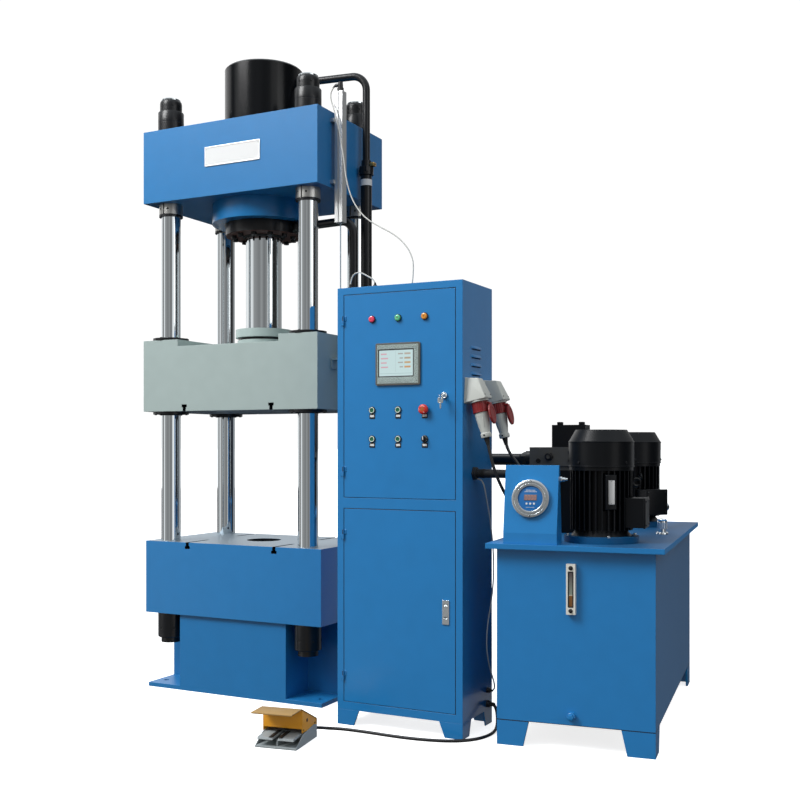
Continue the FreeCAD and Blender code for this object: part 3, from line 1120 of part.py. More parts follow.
def make_motor(name, y, own_turn):
    """Flange motor stood on the lid: base ring, finned frame, end shield, terminal box and fan cowl."""
    base, frame_low = "lid_top", "lid_top + ring_base_tall"
    shield, fin_low = "cowl_dia/2 - cowl_sheet - gap", frame_low + " + frame_foot_tall"
    frame_top = frame_low + " + frame_tall"
    at = ("motor_x", y)
    body = unit_piece(name + "_frame", at, own_turn)
    body.turned([
        ("0", base), ("ring_base/2", base), ("ring_base/2", base + " + ring_base_tall"),
        ("frame_dia/2 + frame_foot", frame_low), ("frame_dia/2", fin_low),
        ("frame_dia/2", frame_top + " - shield_tall"), (shield, frame_top + " - shield_tall"),
        (shield, frame_top), ("shaft_dia/2", frame_top), ("shaft_dia/2", frame_top + " + shaft_out"),
        ("0", frame_top + " + shaft_out"),
    ])
    fin = body.pad("XY", fin_low, frame_top + " - shield_tall",
                   rectangle("frame_dia/2 - 4", "fin_dia/2", "-fin_thick/2", "fin_thick/2"))
    body.around(fin, "fin_count")
    out = "frame_dia/2 + box_w"
    body.pad("XY", "box_z", "box_z + box_tall", rectangle("frame_dia/2 - fin_tall/2", out, "-box_d/2", "box_d/2"))
    body.pad("XZ", "box_d/2", "box_d/2 + box_gland_len",
             circles=[(out + " - box_gland_dia", "box_z + box_gland_dia", "box_gland_dia")])

    cowl = unit_piece(name + "_cowl", at, own_turn)
    low, high = frame_top + " - cowl_lap", frame_top + " + cowl_tall - cowl_lap"
    r, small, wall = "cowl_dia/2", "cowl_top_dia/2", "cowl_sheet"
    cowl.turned([
        ("%s - %s" % (r, wall), low), (r, low), (r, high + " - cowl_cone"), (small, high), ("0", high),
        ("0", high + " - " + wall), (small + " - 1", high + " - " + wall),
        ("%s - %s" % (r, wall), high + " - cowl_cone - 1"),
    ])
    vent = cowl.pocket("XY", high + " - %s - 1" % wall, high + " + 1",
                       rectangle("vent_in", "cowl_top_dia/2 - vent_w", "-vent_w/2", "vent_w/2"))
    cowl.around(vent, "vent_count")
    node(name, body.body, cowl.body)

    fan = unit_piece(name + "_fan_body", at, own_turn)
    fan_low = frame_top + " + fan_up"
    fan.turned(ring_profile("shaft_dia + 2*gap", "fan_hub", fan_low, fan_low + " + fan_tall"))
    blade = fan.pad("XY", fan_low, fan_low + " + fan_tall",
                    rectangle("fan_hub/2 - 1", "fan_dia/2", "-blade_thick/2", "blade_thick/2"))
    fan.around(blade, "blade_count")
    node(name + "_fan", fan.body)


def make_valves():
    """Valve stack: a stand on the lid, the manifold with its two pipe ports, and the valve above."""
    body = unit_piece("valve_stack")
    y0, y1, middle = "valve_y", "valve_y + valve_d", "valve_y + valve_d/2"
    body.pad("XY", "lid_top", "valve_z", rectangle("stand_x", "stand_x + stand_w", y0 + " + valve_inset",
                                                   y1 + " - valve_inset"))
    body.pad("XY", "valve_z", "valve_z + valve_tall", rectangle("valve_x", "valve_x + valve_w", y0, y1))
    top = "valve_z + valve_tall"
    high, right = top + " + valve_top_tall", "valve_top_x + valve_top_w"
    body.pad("XY", top, high, rectangle("valve_top_x", right, y0 + " + valve_inset", y1 + " - valve_inset"))
    for x in ("valve_top_x + knob_in", right + " - knob_in"):
        body.pad("XY", high, high + " + knob_tall", circles=[(x, middle, "knob_dia")])
    body.pad("XZ", y0 + " - knob_in", y0, circles=[("valve_x + gauge_port_in", "valve_z + valve_tall/2",
                                                    "gauge_port_dia")])
    body.pad("YZ", right, right + " + coil_len", circles=[(middle, top + " + valve_top_tall/2", "coil_dia")])
    node("valve_block", body.body)


# ---------------------------------------------------------------- foot switch

PEDAL = ("pedal_x", "pedal_y", "0")


def pedal_piece(name):
    return Piece(name, PEDAL, "pedal_turn")


def make_foot_switch():
    base = pedal_piece("pedal_floor")
    cheek_back = "switch_z + 2*cheek_thick + 4"
    side = [("4", "pedal_base"), ("pedal_d", "pedal_base"), ("pedal_d", cheek_back),
            ("pedal_d - 30", cheek_back + " + 6"), ("hood_wall_y", "tread_pivot_z")]
    base.pad("XY", "0", "pedal_base", rectangle("0", "pedal_w", "0", "pedal_d"))
    inside = ("cheek_thick", "pedal_w - cheek_thick")
    for low, high in (("0", inside[0]), (inside[1], "pedal_w")):
        base.pad("YZ", low, high, side)
    base.pad("XZ", "switch_y", "pedal_d - 4", rectangle(inside[0], inside[1], "pedal_base", "switch_z"))
    base.pad("YZ", "pedal_w/2 - rib_thick/2", "pedal_w/2 + rib_thick/2", [
        ("14", "pedal_base"), ("switch_y", "pedal_base"), ("switch_y", "switch_z"), ("hood_wall_y", "switch_z"),
        ("20", "switch_z - 12")])
    base.pad("XZ", "pedal_d - 4", "pedal_d - 4 + cord_exit_len", circles=[("cord_exit_x", "cord_exit_z",
                                                                           "pedal_cord + 11")])
    base.pad("YZ", inside[0], inside[1], circles=[("tread_pivot_y", "tread_pivot_z", "tread_pin")])
    node("pedal_base", base.body)

    hood = pedal_piece("hood_shell")
    back, t, fold = "pedal_d + 4", "hood_sheet", "tread_pivot_y"
    brow = "hood_top - 3"
    roof = [("-hood_fore", brow), (fold, "hood_top"), (back, "hood_back_z"), (back, "hood_back_z - hood_drop"),
            ("%s - %s" % (back, t), "hood_back_z - hood_drop"), ("%s - %s" % (back, t), "hood_back_z - 1"),
            (fold + " - 1", "hood_top - " + t), ("-hood_fore", "%s - %s" % (brow, t))]
    hood.pad("YZ", "-hood_side", "pedal_w + hood_side", roof)
    wall = [("hood_wall_y", "hood_low"), ("%s - %s" % (back, t), "hood_low"),
            ("%s - %s" % (back, t), "hood_back_z - 1"), (fold + " - 1", "hood_top - " + t),
            ("hood_wall_y", "hood_top - %s - 1" % t)]
    for low, high in (("-%s - gap" % t, "-gap"), ("pedal_w + gap", "pedal_w + gap + " + t)):
        hood.pad("YZ", low, high, wall)
    hood.pad("XZ", "hood_wall_y", "hood_wall_y + " + t,
             rectangle("-gap", "pedal_w + gap", "hood_front_low", "hood_top - %s - 1" % t))
    node("pedal_hood", hood.body)

    rise, left_edge = "tread_z - 6", "cheek_thick + tread_side"
    for name, left in (("treadle_left", left_edge), ("treadle_right", "pedal_w - (%s) - tread_w" % left_edge)):
        tread = pedal_piece(name + "_plate")
        right = left + " + tread_w"
        tread.pad("YZ", left, right, [
            ("-2", rise), ("2", rise + " + tread_thick"), ("tread_pivot_y", "tread_z + tread_thick + 1"),
            ("tread_pivot_y", "tread_z + 2"),
        ])
        tread.pad("YZ", left, right, circles=[("tread_pivot_y", "tread_pivot_z", "tread_hub")])
        tread.pocket("YZ", left + " - 1", right + " + 1",
                     circles=[("tread_pivot_y", "tread_pivot_z", "tread_pin + 2*gap")])
        node(name, tread.body)


# ---------------------------------------------------------------- cords

SENSOR_CORD = [(513, -175, 2863), (498, -182, 2848), (500, -202, 2800), (528, -212, 2740), (560, -222, 2640),
               (589, -232, 2510), (610, -243, 2389), (650, -250, 2290), (712, -258, 2216), (790, -266, 2168),
               (872, -273, 2124), (932, -281, 2070), (968, -290, 2010), (975, -297, 1950), (968, -300, 1885)]
LOOP_CORD = [(718, -398, 1885), (718, -398, 1912), (732, -396, 1942), (762, -395, 1950), (800, -395, 1930),
             (838, -395, 1908), (838, -395, 1885)]
FLOOR_CORD = [(1297, -357, 1058), (1309, -357, 1057), (1321, -354, 1046), (1326, -346, 1022), (1324, -322, 978),
              (1319, -278, 912), (1315, -241, 836), (1314, -219, 755), (1314, -212, 672), (1314, -222, 590),
              (1314, -250, 512), (1314, -286, 438), (1315, -299, 360), (1316, -281, 290), (1318, -248, 228),
              (1321, -224, 186), (1319, -215, 162), (1309, -214, 150), (1297, -214, 150)]
PEDAL_CORD = [(693.9, -682.7, 24), (689.5, -655, 24), (694, -614, 14), (722, -580, 7), (778, -566, 7), (850, -564, 7),
              (930, -566, 7), (1010, -570, 7), (1085, -569, 7), (1155, -560, 7), (1222, -544, 7), (1286, -514, 7),
              (1334, -464, 7), (1358, -400, 7), (1362, -334, 7), (1354, -276, 14), (1340, -236, 46),
              (1326, -217, 80), (1312, -214, 92), (1297, -214, 92)]
PLUG_CORDS = ([(1392, -415, 1110), (1410, -395, 1045), (1434, -358, 975), (1462, -316, 925)],
              [(1402, -228, 1150), (1438, -242, 1116), (1484, -262, 1040), (1522, -280, 950)])
TRUNK = [(1407, -322, 1079), (1431, -257, 1075), (1440, -172, 1064), (1454, -84, 1044)]
CORD_SIDES = 6  # a round section would take most of the model's facets


def make_cords():
    node("sensor_cable", tube("sensor_cable_body", size("sensor_cord"), SENSOR_CORD, sides=CORD_SIDES))
    node("thin_cables", tube("loop_cable_body", size("thin_cord"), LOOP_CORD, sides=CORD_SIDES),
         tube("floor_cable_body", size("thin_cord"), FLOOR_CORD, sides=CORD_SIDES))
    node("pedal_cable", tube("pedal_cable_body", size("pedal_cord"), PEDAL_CORD, sides=CORD_SIDES))
    lean = math.radians(size("socket_lean"))
    solids = []
    for i, (y, lid_x, bends, drop_in) in enumerate((
        ("socket_y1", "lid_gland_x", PLUG_CORDS[0], 50),
        ("socket_y2", "lid_gland_x + lid_gland_pitch", PLUG_CORDS[1], 32),
    )):
        reach, drop = size("socket_mid"), size("ring_tall + plug_len")
        x = size(CAB_RIGHT) + reach * math.cos(lean) + drop * math.sin(lean)
        z = size("socket_z") + reach * math.sin(lean) - drop * math.cos(lean)
        start = (x, size(y), z)
        second = (x + 44 * math.sin(lean), size(y), z - 44 * math.cos(lean))
        end = unit_spot(lid_x, "lid_gland_y", "lid_top + lid_gland_tall")
        above = (end[0], end[1], end[2] + drop_in)
        solids.append(tube("plug_cable_%d" % i, size("plug_cord"), [start, second, *bends, above, end],
                           sides=CORD_SIDES))
    right = size(CAB_RIGHT + " + side_gland")
    trunk_y, trunk_z = size("cab_y + trunk_y"), size("trunk_z")
    end = unit_spot("stand_x + 60", "valve_y + valve_inset", "lid_top + trunk_in_z")
    before = unit_spot("stand_x + 60", "valve_y - 70", "lid_top + trunk_in_z")
    trunk = tube("trunk_body", size("trunk_dia"),
                 [(right, trunk_y, trunk_z), (right + 58, trunk_y, trunk_z), *TRUNK, before, end], sides=CORD_SIDES)
    node("power_cables", *solids, trunk)


BUILDERS = (
    make_pedestal, make_table, make_columns, make_nuts, make_collars, make_crown, make_cylinder, make_gland,
    make_slide, make_guides, make_ram, make_sensor, make_pipes, make_cabinet, make_cabinet_feet,
    make_control_panel, make_hinges, make_upper_door, make_panel_fittings, make_lower_door, make_sockets,
    make_tank, make_console, make_motors, make_valves, make_foot_switch, make_cords,
)
for build in BUILDERS:
    build()
doc.recompute()

broken = [o.Label for o in doc.Objects if {"Invalid", "Error"} & set(o.State)]
broken += [n.Label for n in NODES if n.Shape.isNull() or not n.Shape.isValid() or not n.Shape.Solids]
if broken:
    raise RuntimeError("not built: %s" % ", ".join(broken))

os.makedirs("parts", exist_ok=True)
for made in NODES:
    made.Shape.exportStep("parts/%s.step" % made.Label)
print("%d nodes, %d solids" % (len(NODES), sum(len(n.Shape.Solids) for n in NODES)))
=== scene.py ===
import math

import bmesh
import bpy
from mathutils import Matrix, Vector


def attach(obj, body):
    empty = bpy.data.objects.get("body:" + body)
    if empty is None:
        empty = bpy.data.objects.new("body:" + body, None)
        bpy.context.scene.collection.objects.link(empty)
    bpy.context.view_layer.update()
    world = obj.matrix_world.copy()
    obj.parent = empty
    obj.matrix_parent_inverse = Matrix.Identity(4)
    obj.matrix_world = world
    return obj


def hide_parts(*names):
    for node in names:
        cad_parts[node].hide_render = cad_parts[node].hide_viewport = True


# Looks of a four-column hydraulic press: finishes for the CAD nodes, the small parts that the CAD
# leaves out, the cables, a pale studio and the camera. All in the CAD's frame. Finishes, studio and
# camera are in metres; meshes and cables' routes are given in millimetres.

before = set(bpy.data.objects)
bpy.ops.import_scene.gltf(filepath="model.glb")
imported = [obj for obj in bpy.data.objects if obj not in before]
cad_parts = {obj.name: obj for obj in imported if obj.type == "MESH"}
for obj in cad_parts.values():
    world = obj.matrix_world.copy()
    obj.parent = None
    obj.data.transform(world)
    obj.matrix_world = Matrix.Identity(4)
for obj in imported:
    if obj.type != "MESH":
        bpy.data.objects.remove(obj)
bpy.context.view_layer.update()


# ---------------------------------------------------------------- shader sockets

class Value:
    """A shader socket; arithmetic on it adds Math nodes to its finish."""

    def __init__(self, finish, socket):
        self.finish, self.socket = finish, socket

    def __rsub__(self, other):
        return self.finish.maths("SUBTRACT", other, self)

    def __abs__(self):
        return self.finish.maths("ABSOLUTE", self)


def operator(operation):
    return lambda self, other: self.finish.maths(operation, self, other)


for sign, operation in (
    ("add", "ADD"), ("radd", "ADD"), ("sub", "SUBTRACT"), ("mul", "MULTIPLY"), ("rmul", "MULTIPLY"),
    ("truediv", "DIVIDE"), ("gt", "GREATER_THAN"), ("lt", "LESS_THAN"),
):
    setattr(Value, "__%s__" % sign, operator(operation))


class Finish:
    """The node tree of one material, or of the world."""

    def __init__(self, name, kind="materials"):
        self.owner = getattr(bpy.data, kind).new(name)
        self.owner.use_nodes = True
        self.tree = self.owner.node_tree
        self.tree.nodes.clear()

    def add(self, kind, settings, *values, out=0, **named):
        """A node of one kind, with its settings, then the values or links of its sockets."""
        made = self.tree.nodes.new(kind)
        for row, setting in settings.items():
            if row == "stops":
                marks = made.color_ramp.elements
                marks.remove(marks[1])
                marks[0].position, marks[0].color = setting[0][0], (*setting[0][1], 1)
                for at, colour in setting[1:]:
                    marks.new(at).color = (*colour, 1)
            else:
                setattr(made, row, setting)
        pairs = list(zip([s for s in made.inputs if s.enabled], values))
        pairs += [(made.inputs[row.replace("_", " ")], value) for row, value in named.items()]
        for socket, value in pairs:
            if isinstance(value, Value):
                self.tree.links.new(value.socket, socket)
            elif value is not None:
                socket.default_value = (*value, 1) if socket.type == "RGBA" else value
        outputs = [s for s in made.outputs if s.enabled]
        return Value(self, outputs[out]) if outputs else None

    def maths(self, operation, *values):
        return self.add("ShaderNodeMath", {"operation": operation}, *values)

    def place(self):
        """The point on the surface in the piece's own coordinates, which are the press's at rest."""
        return self.add("ShaderNodeTexCoord", {}, out=3)

    def facing(self):
        return self.add("ShaderNodeTexCoord", {}, out=1)

    def at(self, axis):
        return self.along(self.place(), axis)

    def faces(self, axis):
        """1 where the surface faces along an axis, else 0."""
        return self.along(self.facing(), axis) > 0.9

    def kept(self, value, low, high):
        """The value, kept between two bounds."""
        return self.maths("MINIMUM", self.maths("MAXIMUM", value, low), high)

    def along(self, vector, axis):
        return self.add("ShaderNodeSeparateXYZ", {}, vector, out="xyz".index(axis))

    def stretched(self, vector, scale):
        return self.add("ShaderNodeVectorMath", {"operation": "MULTIPLY"}, vector, scale)

    def noise(self, size, detail=2.0, vector=None):
        """Cloudy noise between 0 and 1 with features of about a size in metres."""
        return self.add("ShaderNodeTexNoise", {}, vector or self.place(), None, 1 / size, detail, out=0)

    def mix(self, amount, low, high):
        """From one colour to another as the amount goes from 0 to 1."""
        return self.add("ShaderNodeMix", {"data_type": "RGBA"}, amount, low, high)

    def bump(self, height, depth, strength=1.0, normal=None):
        return self.add("ShaderNodeBump", {}, Strength=strength, Distance=depth, Height=height, Normal=normal)

    def rounded(self, radius):
        """The surface's normal with its sharp edges softened."""
        return self.add("ShaderNodeBevel", {"samples": 4}, radius)

    def edges(self, radius):
        """1 on sharp edges and 0 away from them."""
        flat = self.add("ShaderNodeNewGeometry", {}, out=1)
        return 1 - self.add("ShaderNodeVectorMath", {"operation": "DOT_PRODUCT"}, self.rounded(radius), flat)

    def done(self, **sockets):
        """The surface, from its sockets' names with underscores, and its output."""
        self.add("ShaderNodeOutputMaterial", {}, self.add("ShaderNodeBsdfPrincipled", {}, **sockets))
        return self.owner


def shade(colour, factor):
    return tuple(min(1, c * factor) for c in colour)


# ---------------------------------------------------------------- finishes

# Heights where finishes change: the table's machined top, the slide's and the crown's undersides, the
# painted bracket's top, the foot of the columns' chrome, the sensor's plug and the oil.
TABLE_TOP, SLIDE_LOW, CROWN_LOW = 0.7235, 1.3622, 2.3879
BRACKET_TOP, CHROME_LOW, SENSOR_PLUG_LOW, OIL_TOP = 1.62, 0.262, 2.8301, 0.612
SLOT_X, SLOT_HALF = 0.25, 0.0155   # the T-slots of the table and the slide
DOOR_X, DOOR_HALF = 0.9905, 0.2612   # both doors' middle and half width
DOOR_HEIGHTS = (1.407, 0.433), (0.5135, 0.4135)   # each door's middle and half height

BLUE = (0.013, 0.188, 0.467)
CABINET_BLUE = (0.012, 0.198, 0.5)
TANK_BLUE = (0.014, 0.21, 0.53)
SLIDE_GREY = (0.365, 0.445, 0.43)
STEEL = (0.46, 0.46, 0.44)
TABLE_STEEL = (0.33, 0.4, 0.46)


def enamel(name, colour, peel=0.004, depth=0.0004, rough=0.34, coat=0.35, bare=None, dark=None, glossy=None):
    """Sprayed enamel with orange peel, faint clouds and rubbed edges; machined faces where asked, and darker paint
    where asked: dark slots, painted shade in gaps and painted reflections.
    """
    f = Finish(name)
    paint = f.mix(f.noise(0.6, 3), shade(colour, 0.94), shade(colour, 1.06))
    paint = f.mix(f.maths("MINIMUM", f.edges(0.003) * 1.6 * f.noise(0.02), 0.5), paint, shade(colour, 1.7))
    roughness = rough + 0.1 * f.noise(0.08)
    normal = f.bump(f.noise(peel), depth, 0.5, f.rounded(0.003))
    metallic = 0.0
    if glossy:
        roughness = roughness - glossy(f) * 0.26
    if bare:
        mask = bare(f)
        marks = f.noise(0.004, 3, f.stretched(f.place(), (1, 0.04, 1)))
        paint = f.mix(mask, paint, f.mix(marks, shade(TABLE_STEEL, 0.75), shade(TABLE_STEEL, 1.2)))
        metallic, roughness, coat = mask * 0.85, roughness + mask * 0.08, coat - mask * coat
    if dark:
        paint = f.mix(dark(f), paint, (0.004, 0.006, 0.01))
    return f.done(Base_Color=paint, Metallic=metallic, Roughness=roughness, Coat_Weight=coat, Coat_Roughness=0.12,
        Specular_IOR_Level=0.35, Normal=normal)


def table_top(f):
    return (f.at("z") > TABLE_TOP) * f.faces("z")


def crown_boss(f):
    z = f.at("z")
    return (z < CROWN_LOW) * (z > 2.2)


def rod_steel(f):
    return f.at("z") > BRACKET_TOP


def tank_joint_shade(f):
    """Painted shade: a dark line in the crease at the joint between the tank and its feet."""
    return (abs(f.at("z") - 0.1003) < 0.0021) * 0.9


def dark_side(f):
    """Darker paint low on the cabinet's side: it stands in for the power unit's reflection in the photo."""
    height = f.at("z")
    return f.faces("x") * f.kept((1.45 - height) * 0.9, 0.0, 0.42)


def dark_lid(f):
    """Darker paint on the tank lid's top towards the filler cap: it stands in for the motors' reflections."""
    across = f.at("x")
    # film: how strongly the painted reflection darkens the lid's top, growing towards the filler cap.
    film = f.kept((across - 1.62) * 2.4, 0.0, 0.62)
    return f.faces("z") * film * (0.8 + 0.4 * f.noise(0.12))


def slide_underside(f):
    return f.at("z") < SLIDE_LOW


def slide_slots(f):
    """Inside the slide's T-slots."""
    z, x, y = f.at("z"), f.at("x"), f.at("y")
    return (z < 1.3945) * (z > 1.3621) * (abs(abs(x) - SLOT_X) < SLOT_HALF) * (abs(y) < 0.3149)


def table_slots(f):
    """Inside the table's T-slots and its middle bore."""
    z, x, y = f.at("z"), f.at("x"), f.at("y")
    inside = (z > 0.691) * (z < 0.7237)
    slots = inside * (abs(abs(x) - SLOT_X) < SLOT_HALF) * (abs(y) < 0.2913)
    return f.maths("MAXIMUM", slots, (z < 0.7237) * (x * x + y * y < 0.0074))


def door_gap_shade(f):
    """Painted shade: a thin dark line just inside both doors' outlines, where the gaps round the doors are."""
    z, x = f.at("z"), f.at("x")
    sides = abs(abs(x - DOOR_X) - DOOR_HALF) < 0.0021
    ends = f.maths("MAXIMUM", *(abs(abs(z - middle) - half) < 0.0016 for middle, half in DOOR_HEIGHTS))
    return f.maths("MAXIMUM", sides, ends) * 0.93


def chrome(name, rough=0.035, tone=0.78, grind=0.00001, ends=None):
    """Ground and hard-chromed steel with fine rings round it and a faint oil film; near black below a height."""
    f = Finish(name)
    rings = f.noise(0.0012, 2, f.stretched(f.place(), (0.03, 0.03, 1)))
    film = f.noise(0.15, 3)
    colour = f.mix(film, (tone * 0.86, tone * 0.93, tone * 0.98), (tone * 0.94, tone * 0.99, tone))
    metallic, roughness = 1.0, rough + 0.03 * film
    if ends:
        mask = f.at("z") < ends
        colour, metallic, roughness = f.mix(mask, colour, (0.004, 0.005, 0.006)), 1 - mask, roughness + mask * 0.3
    normal = f.bump(rings, grind, 0.02) if ends else f.bump(rings, grind, 0.1, f.rounded(0.0012))
    return f.done(Base_Color=colour, Metallic=metallic, Roughness=roughness, Normal=normal)


def blackened(name, tone=0.005, rough=0.3, coat=0.2, grain=0.003, painted=None, shine=0.35):
    """Black lacquer over turned steel, and another paint between two heights where asked: low, high, colour."""
    f = Finish(name)
    wear = f.maths("MINIMUM", f.edges(0.002) * 2.2 * f.noise(0.015), 0.6)
    base = f.mix(f.noise(0.12, 4), (tone * 0.6, tone * 0.8, tone * 1.1), (tone * 1.3, tone * 1.6, tone * 2.1))
    base = f.mix(wear, base, (0.07, 0.075, 0.085))
    if painted:
        low, high, colour = painted
        height = f.at("z")
        base = f.mix((height > low) * (height < high), base, colour)
    return f.done(Base_Color=base, Roughness=rough + 0.15 * f.noise(0.03, 3), Coat_Weight=coat, Coat_Roughness=0.15,
        Specular_IOR_Level=shine, Normal=f.bump(f.noise(grain), 0.0002, 0.5, f.rounded(0.002)))


def bare_metal(name, colour=STEEL, rough=0.28, stretch=(1, 1, 12), plug=None):
    """Machined or drawn metal with fine marks along one way, and black plastic above a height where asked."""
    f = Finish(name)
    marks = f.noise(0.004, 3, f.stretched(f.place(), stretch))
    tone, metallic = f.mix(marks, shade(colour, 0.8), shade(colour, 1.15)), 1.0
    if plug:
        mask = f.at("z") > plug
        tone, metallic = f.mix(mask, tone, (0.012, 0.012, 0.014)), 1 - mask
    return f.done(Base_Color=tone, Metallic=metallic, Roughness=rough + 0.12 * marks, Normal=f.bump(marks, 0.00008,
        0.5, f.rounded(0.0012)))


def plastic(name, colour, rough=0.4, grain=0.0012, depth=0.00008):
    """Moulded plastic with a fine grain and slightly dusty hollows."""
    f = Finish(name)
    base = f.mix(f.noise(0.03, 3), shade(colour, 0.88), shade(colour, 1.1))
    return f.done(Base_Color=base, Roughness=rough + 0.1 * f.noise(0.01), Normal=f.bump(f.noise(grain), depth, 0.5,
        f.rounded(0.001)))


def cable_skin(name, colour, rough=0.45):
    f = Finish(name)
    return f.done(Base_Color=f.mix(f.noise(0.05, 3), shade(colour, 0.8), shade(colour, 1.2)),
        Roughness=rough + 0.12 * f.noise(0.02), Normal=f.bump(f.noise(0.002), 0.0001, 0.4))


def lens(name, colour, glow=0.6):
    """Coloured lens with moulded rings, faintly lit."""
    f = Finish(name)
    tint = f.mix(f.noise(0.004), shade(colour, 0.8), shade(colour, 1.2))
    return f.done(Base_Color=tint, Roughness=0.2, Coat_Weight=0.8, Emission_Color=tint, Emission_Strength=glow,
        Normal=f.bump(f.noise(0.002), 0.0002, 0.4))


def oil_glass(name):
    """Level window: greenish and empty above, amber oil in the lower third, with a lighter meniscus."""
    f = Finish(name)
    z = f.at("z")
    empty = f.mix(f.noise(0.03), (0.17, 0.2, 0.16), (0.3, 0.34, 0.28))
    empty = f.mix(f.kept((z - 0.62) * 14.0, 0.0, 1.0), empty, (0.09, 0.07, 0.07))
    oil = f.mix(f.noise(0.02), (0.16, 0.06, 0.012), (0.28, 0.12, 0.025))
    colour = f.mix(z < OIL_TOP, empty, oil)
    colour = f.mix(abs(z - 0.613) < 0.0018, colour, (0.55, 0.5, 0.38))
    return f.done(Base_Color=colour, Roughness=0.08 + 0.05 * f.noise(0.01), Coat_Weight=0.8, Coat_Roughness=0.05)


# The screen's glass and its bezel: middle across and up, half width and half height.
GLASS, BEZEL = (0.9825, 1.541, 0.079, 0.054), (0.9905, 1.537, 0.104, 0.089)

# Marks of the operating picture, from the glass's middle as parts of its half width and half height:
# left, right, low, high and colour.
SCREEN_MARKS = [(-0.9, -0.55 + 0.08 * (row % 2), 0.66 - 0.34 * row, 0.76 - 0.34 * row, (0.8, 0.42, 0.5))
    for row in range(4)]
SCREEN_MARKS += [(0.12 + 0.1 * (row % 2), 0.42, 0.66 - 0.34 * row, 0.76 - 0.34 * row, (0.45, 0.46, 0.44))
    for row in range(4)]
SCREEN_MARKS += [(0.5, 0.86, 0.64 - 0.34 * row, 0.78 - 0.34 * row, tone)
    for row, tone in enumerate(((0.55, 0.48, 0.4), (0.52, 0.4, 0.28), (0.66, 0.42, 0.2), (0.72, 0.36, 0.14)))]
SCREEN_MARKS += [(-0.95, 0.95, -0.82, -0.79, (0.42, 0.62, 0.64)), (-0.03, 0.00, -0.7, 0.9, (0.58, 0.76, 0.78))]


def lit_screen(name):
    """The touch screen's glass with a plain operating picture: a title bar, blocks and keys without lettering."""
    f = Finish(name)
    across = (f.at("x") - GLASS[0]) / GLASS[2]
    up = (f.at("z") - GLASS[1]) / GLASS[3]
    picture = f.mix(f.noise(0.05), (0.6, 0.84, 0.86), (0.74, 0.93, 0.93))
    for left, right, low, high, colour in SCREEN_MARKS:
        inside = abs(across - (left + right) / 2) < (right - left) / 2
        inside = inside * (abs(up - (low + high) / 2) < (high - low) / 2)
        picture = f.mix(inside, picture, colour)
    return f.done(Base_Color=shade((0.5, 0.5, 0.5), 0.1), Roughness=0.12 + 0.1 * f.noise(0.02), Coat_Weight=0.6,
        Emission_Color=picture, Emission_Strength=0.75)


def wrapped_bezel(name, colour):
    """Moulded bezel with a dark rim, still under its thin clear film, which is crumpled; its pale glints are painted
    highlights where the film would catch the light.
    """
    f = Finish(name)
    x, z = f.at("x"), f.at("z")
    rim = 1 - (abs(x - BEZEL[0]) < BEZEL[2] - 0.008) * (abs(z - BEZEL[1]) < BEZEL[3] - 0.008)
    folds = f.noise(0.01, 4, f.stretched(f.place(), (1, 1, 0.6)))
    # Painted highlights: pale streaks where the crumpled film would catch the light.
    painted_glints = (f.noise(0.022, 4, f.stretched(f.place(), (1, 1, 0.5))) > 0.505) * (f.noise(0.035) * 1.9)
    painted_glints = f.maths("MINIMUM", painted_glints, 0.9)
    base = f.mix(painted_glints, f.mix(folds, shade(colour, 0.7), shade(colour, 1.35)), (0.8, 0.93, 0.9))
    base = f.mix(rim * 0.9, base, (0.1, 0.095, 0.08))
    return f.done(Base_Color=base, Roughness=0.16 + 0.3 * f.noise(0.03), Coat_Weight=0.7, Coat_Roughness=0.06,
        Normal=f.bump(folds, 0.004, 0.8, f.rounded(0.001)))


screen_glass = lit_screen("touch_screen_picture")
filmed_bezel = wrapped_bezel("screen_bezel_in_film", (0.17, 0.25, 0.23))
level_glass = oil_glass("oil_level_glass")
press_blue = enamel("press_blue_hammer_enamel", shade(BLUE, 0.94), 0.007, 0.0007, 0.36, 0.12, glossy=crown_boss)
table_blue = enamel("table_blue_enamel_and_machined_top", BLUE, 0.005, 0.0004, bare=table_top, dark=table_slots)
cabinet_blue = enamel("cabinet_blue_powder_coat", CABINET_BLUE, 0.003, 0.0002, 0.3, dark=dark_side)
door_blue = enamel("door_blue_powder_coat", CABINET_BLUE, 0.003, 0.0002, 0.3, dark=door_gap_shade)
# The lid's blue is a shade darker than the tank's: painted reflection of the motors over the whole lid.
lid_blue = enamel("tank_lid_blue_enamel", shade(TANK_BLUE, 0.93), 0.004, 0.0003, 0.55, 0.0, dark=dark_lid)
tank_blue = enamel("tank_blue_enamel", TANK_BLUE, 0.004, 0.0003, 0.24, 0.6, dark=tank_joint_shade)
slide_grey = enamel("slide_grey_enamel", SLIDE_GREY, 0.004, 0.0003, 0.42, 0.15, bare=slide_underside, dark=slide_slots)
pedal_orange = enamel("pedal_orange_powder_coat", (0.92, 0.4, 0.026), 0.003, 0.0003, 0.4, 0.2)
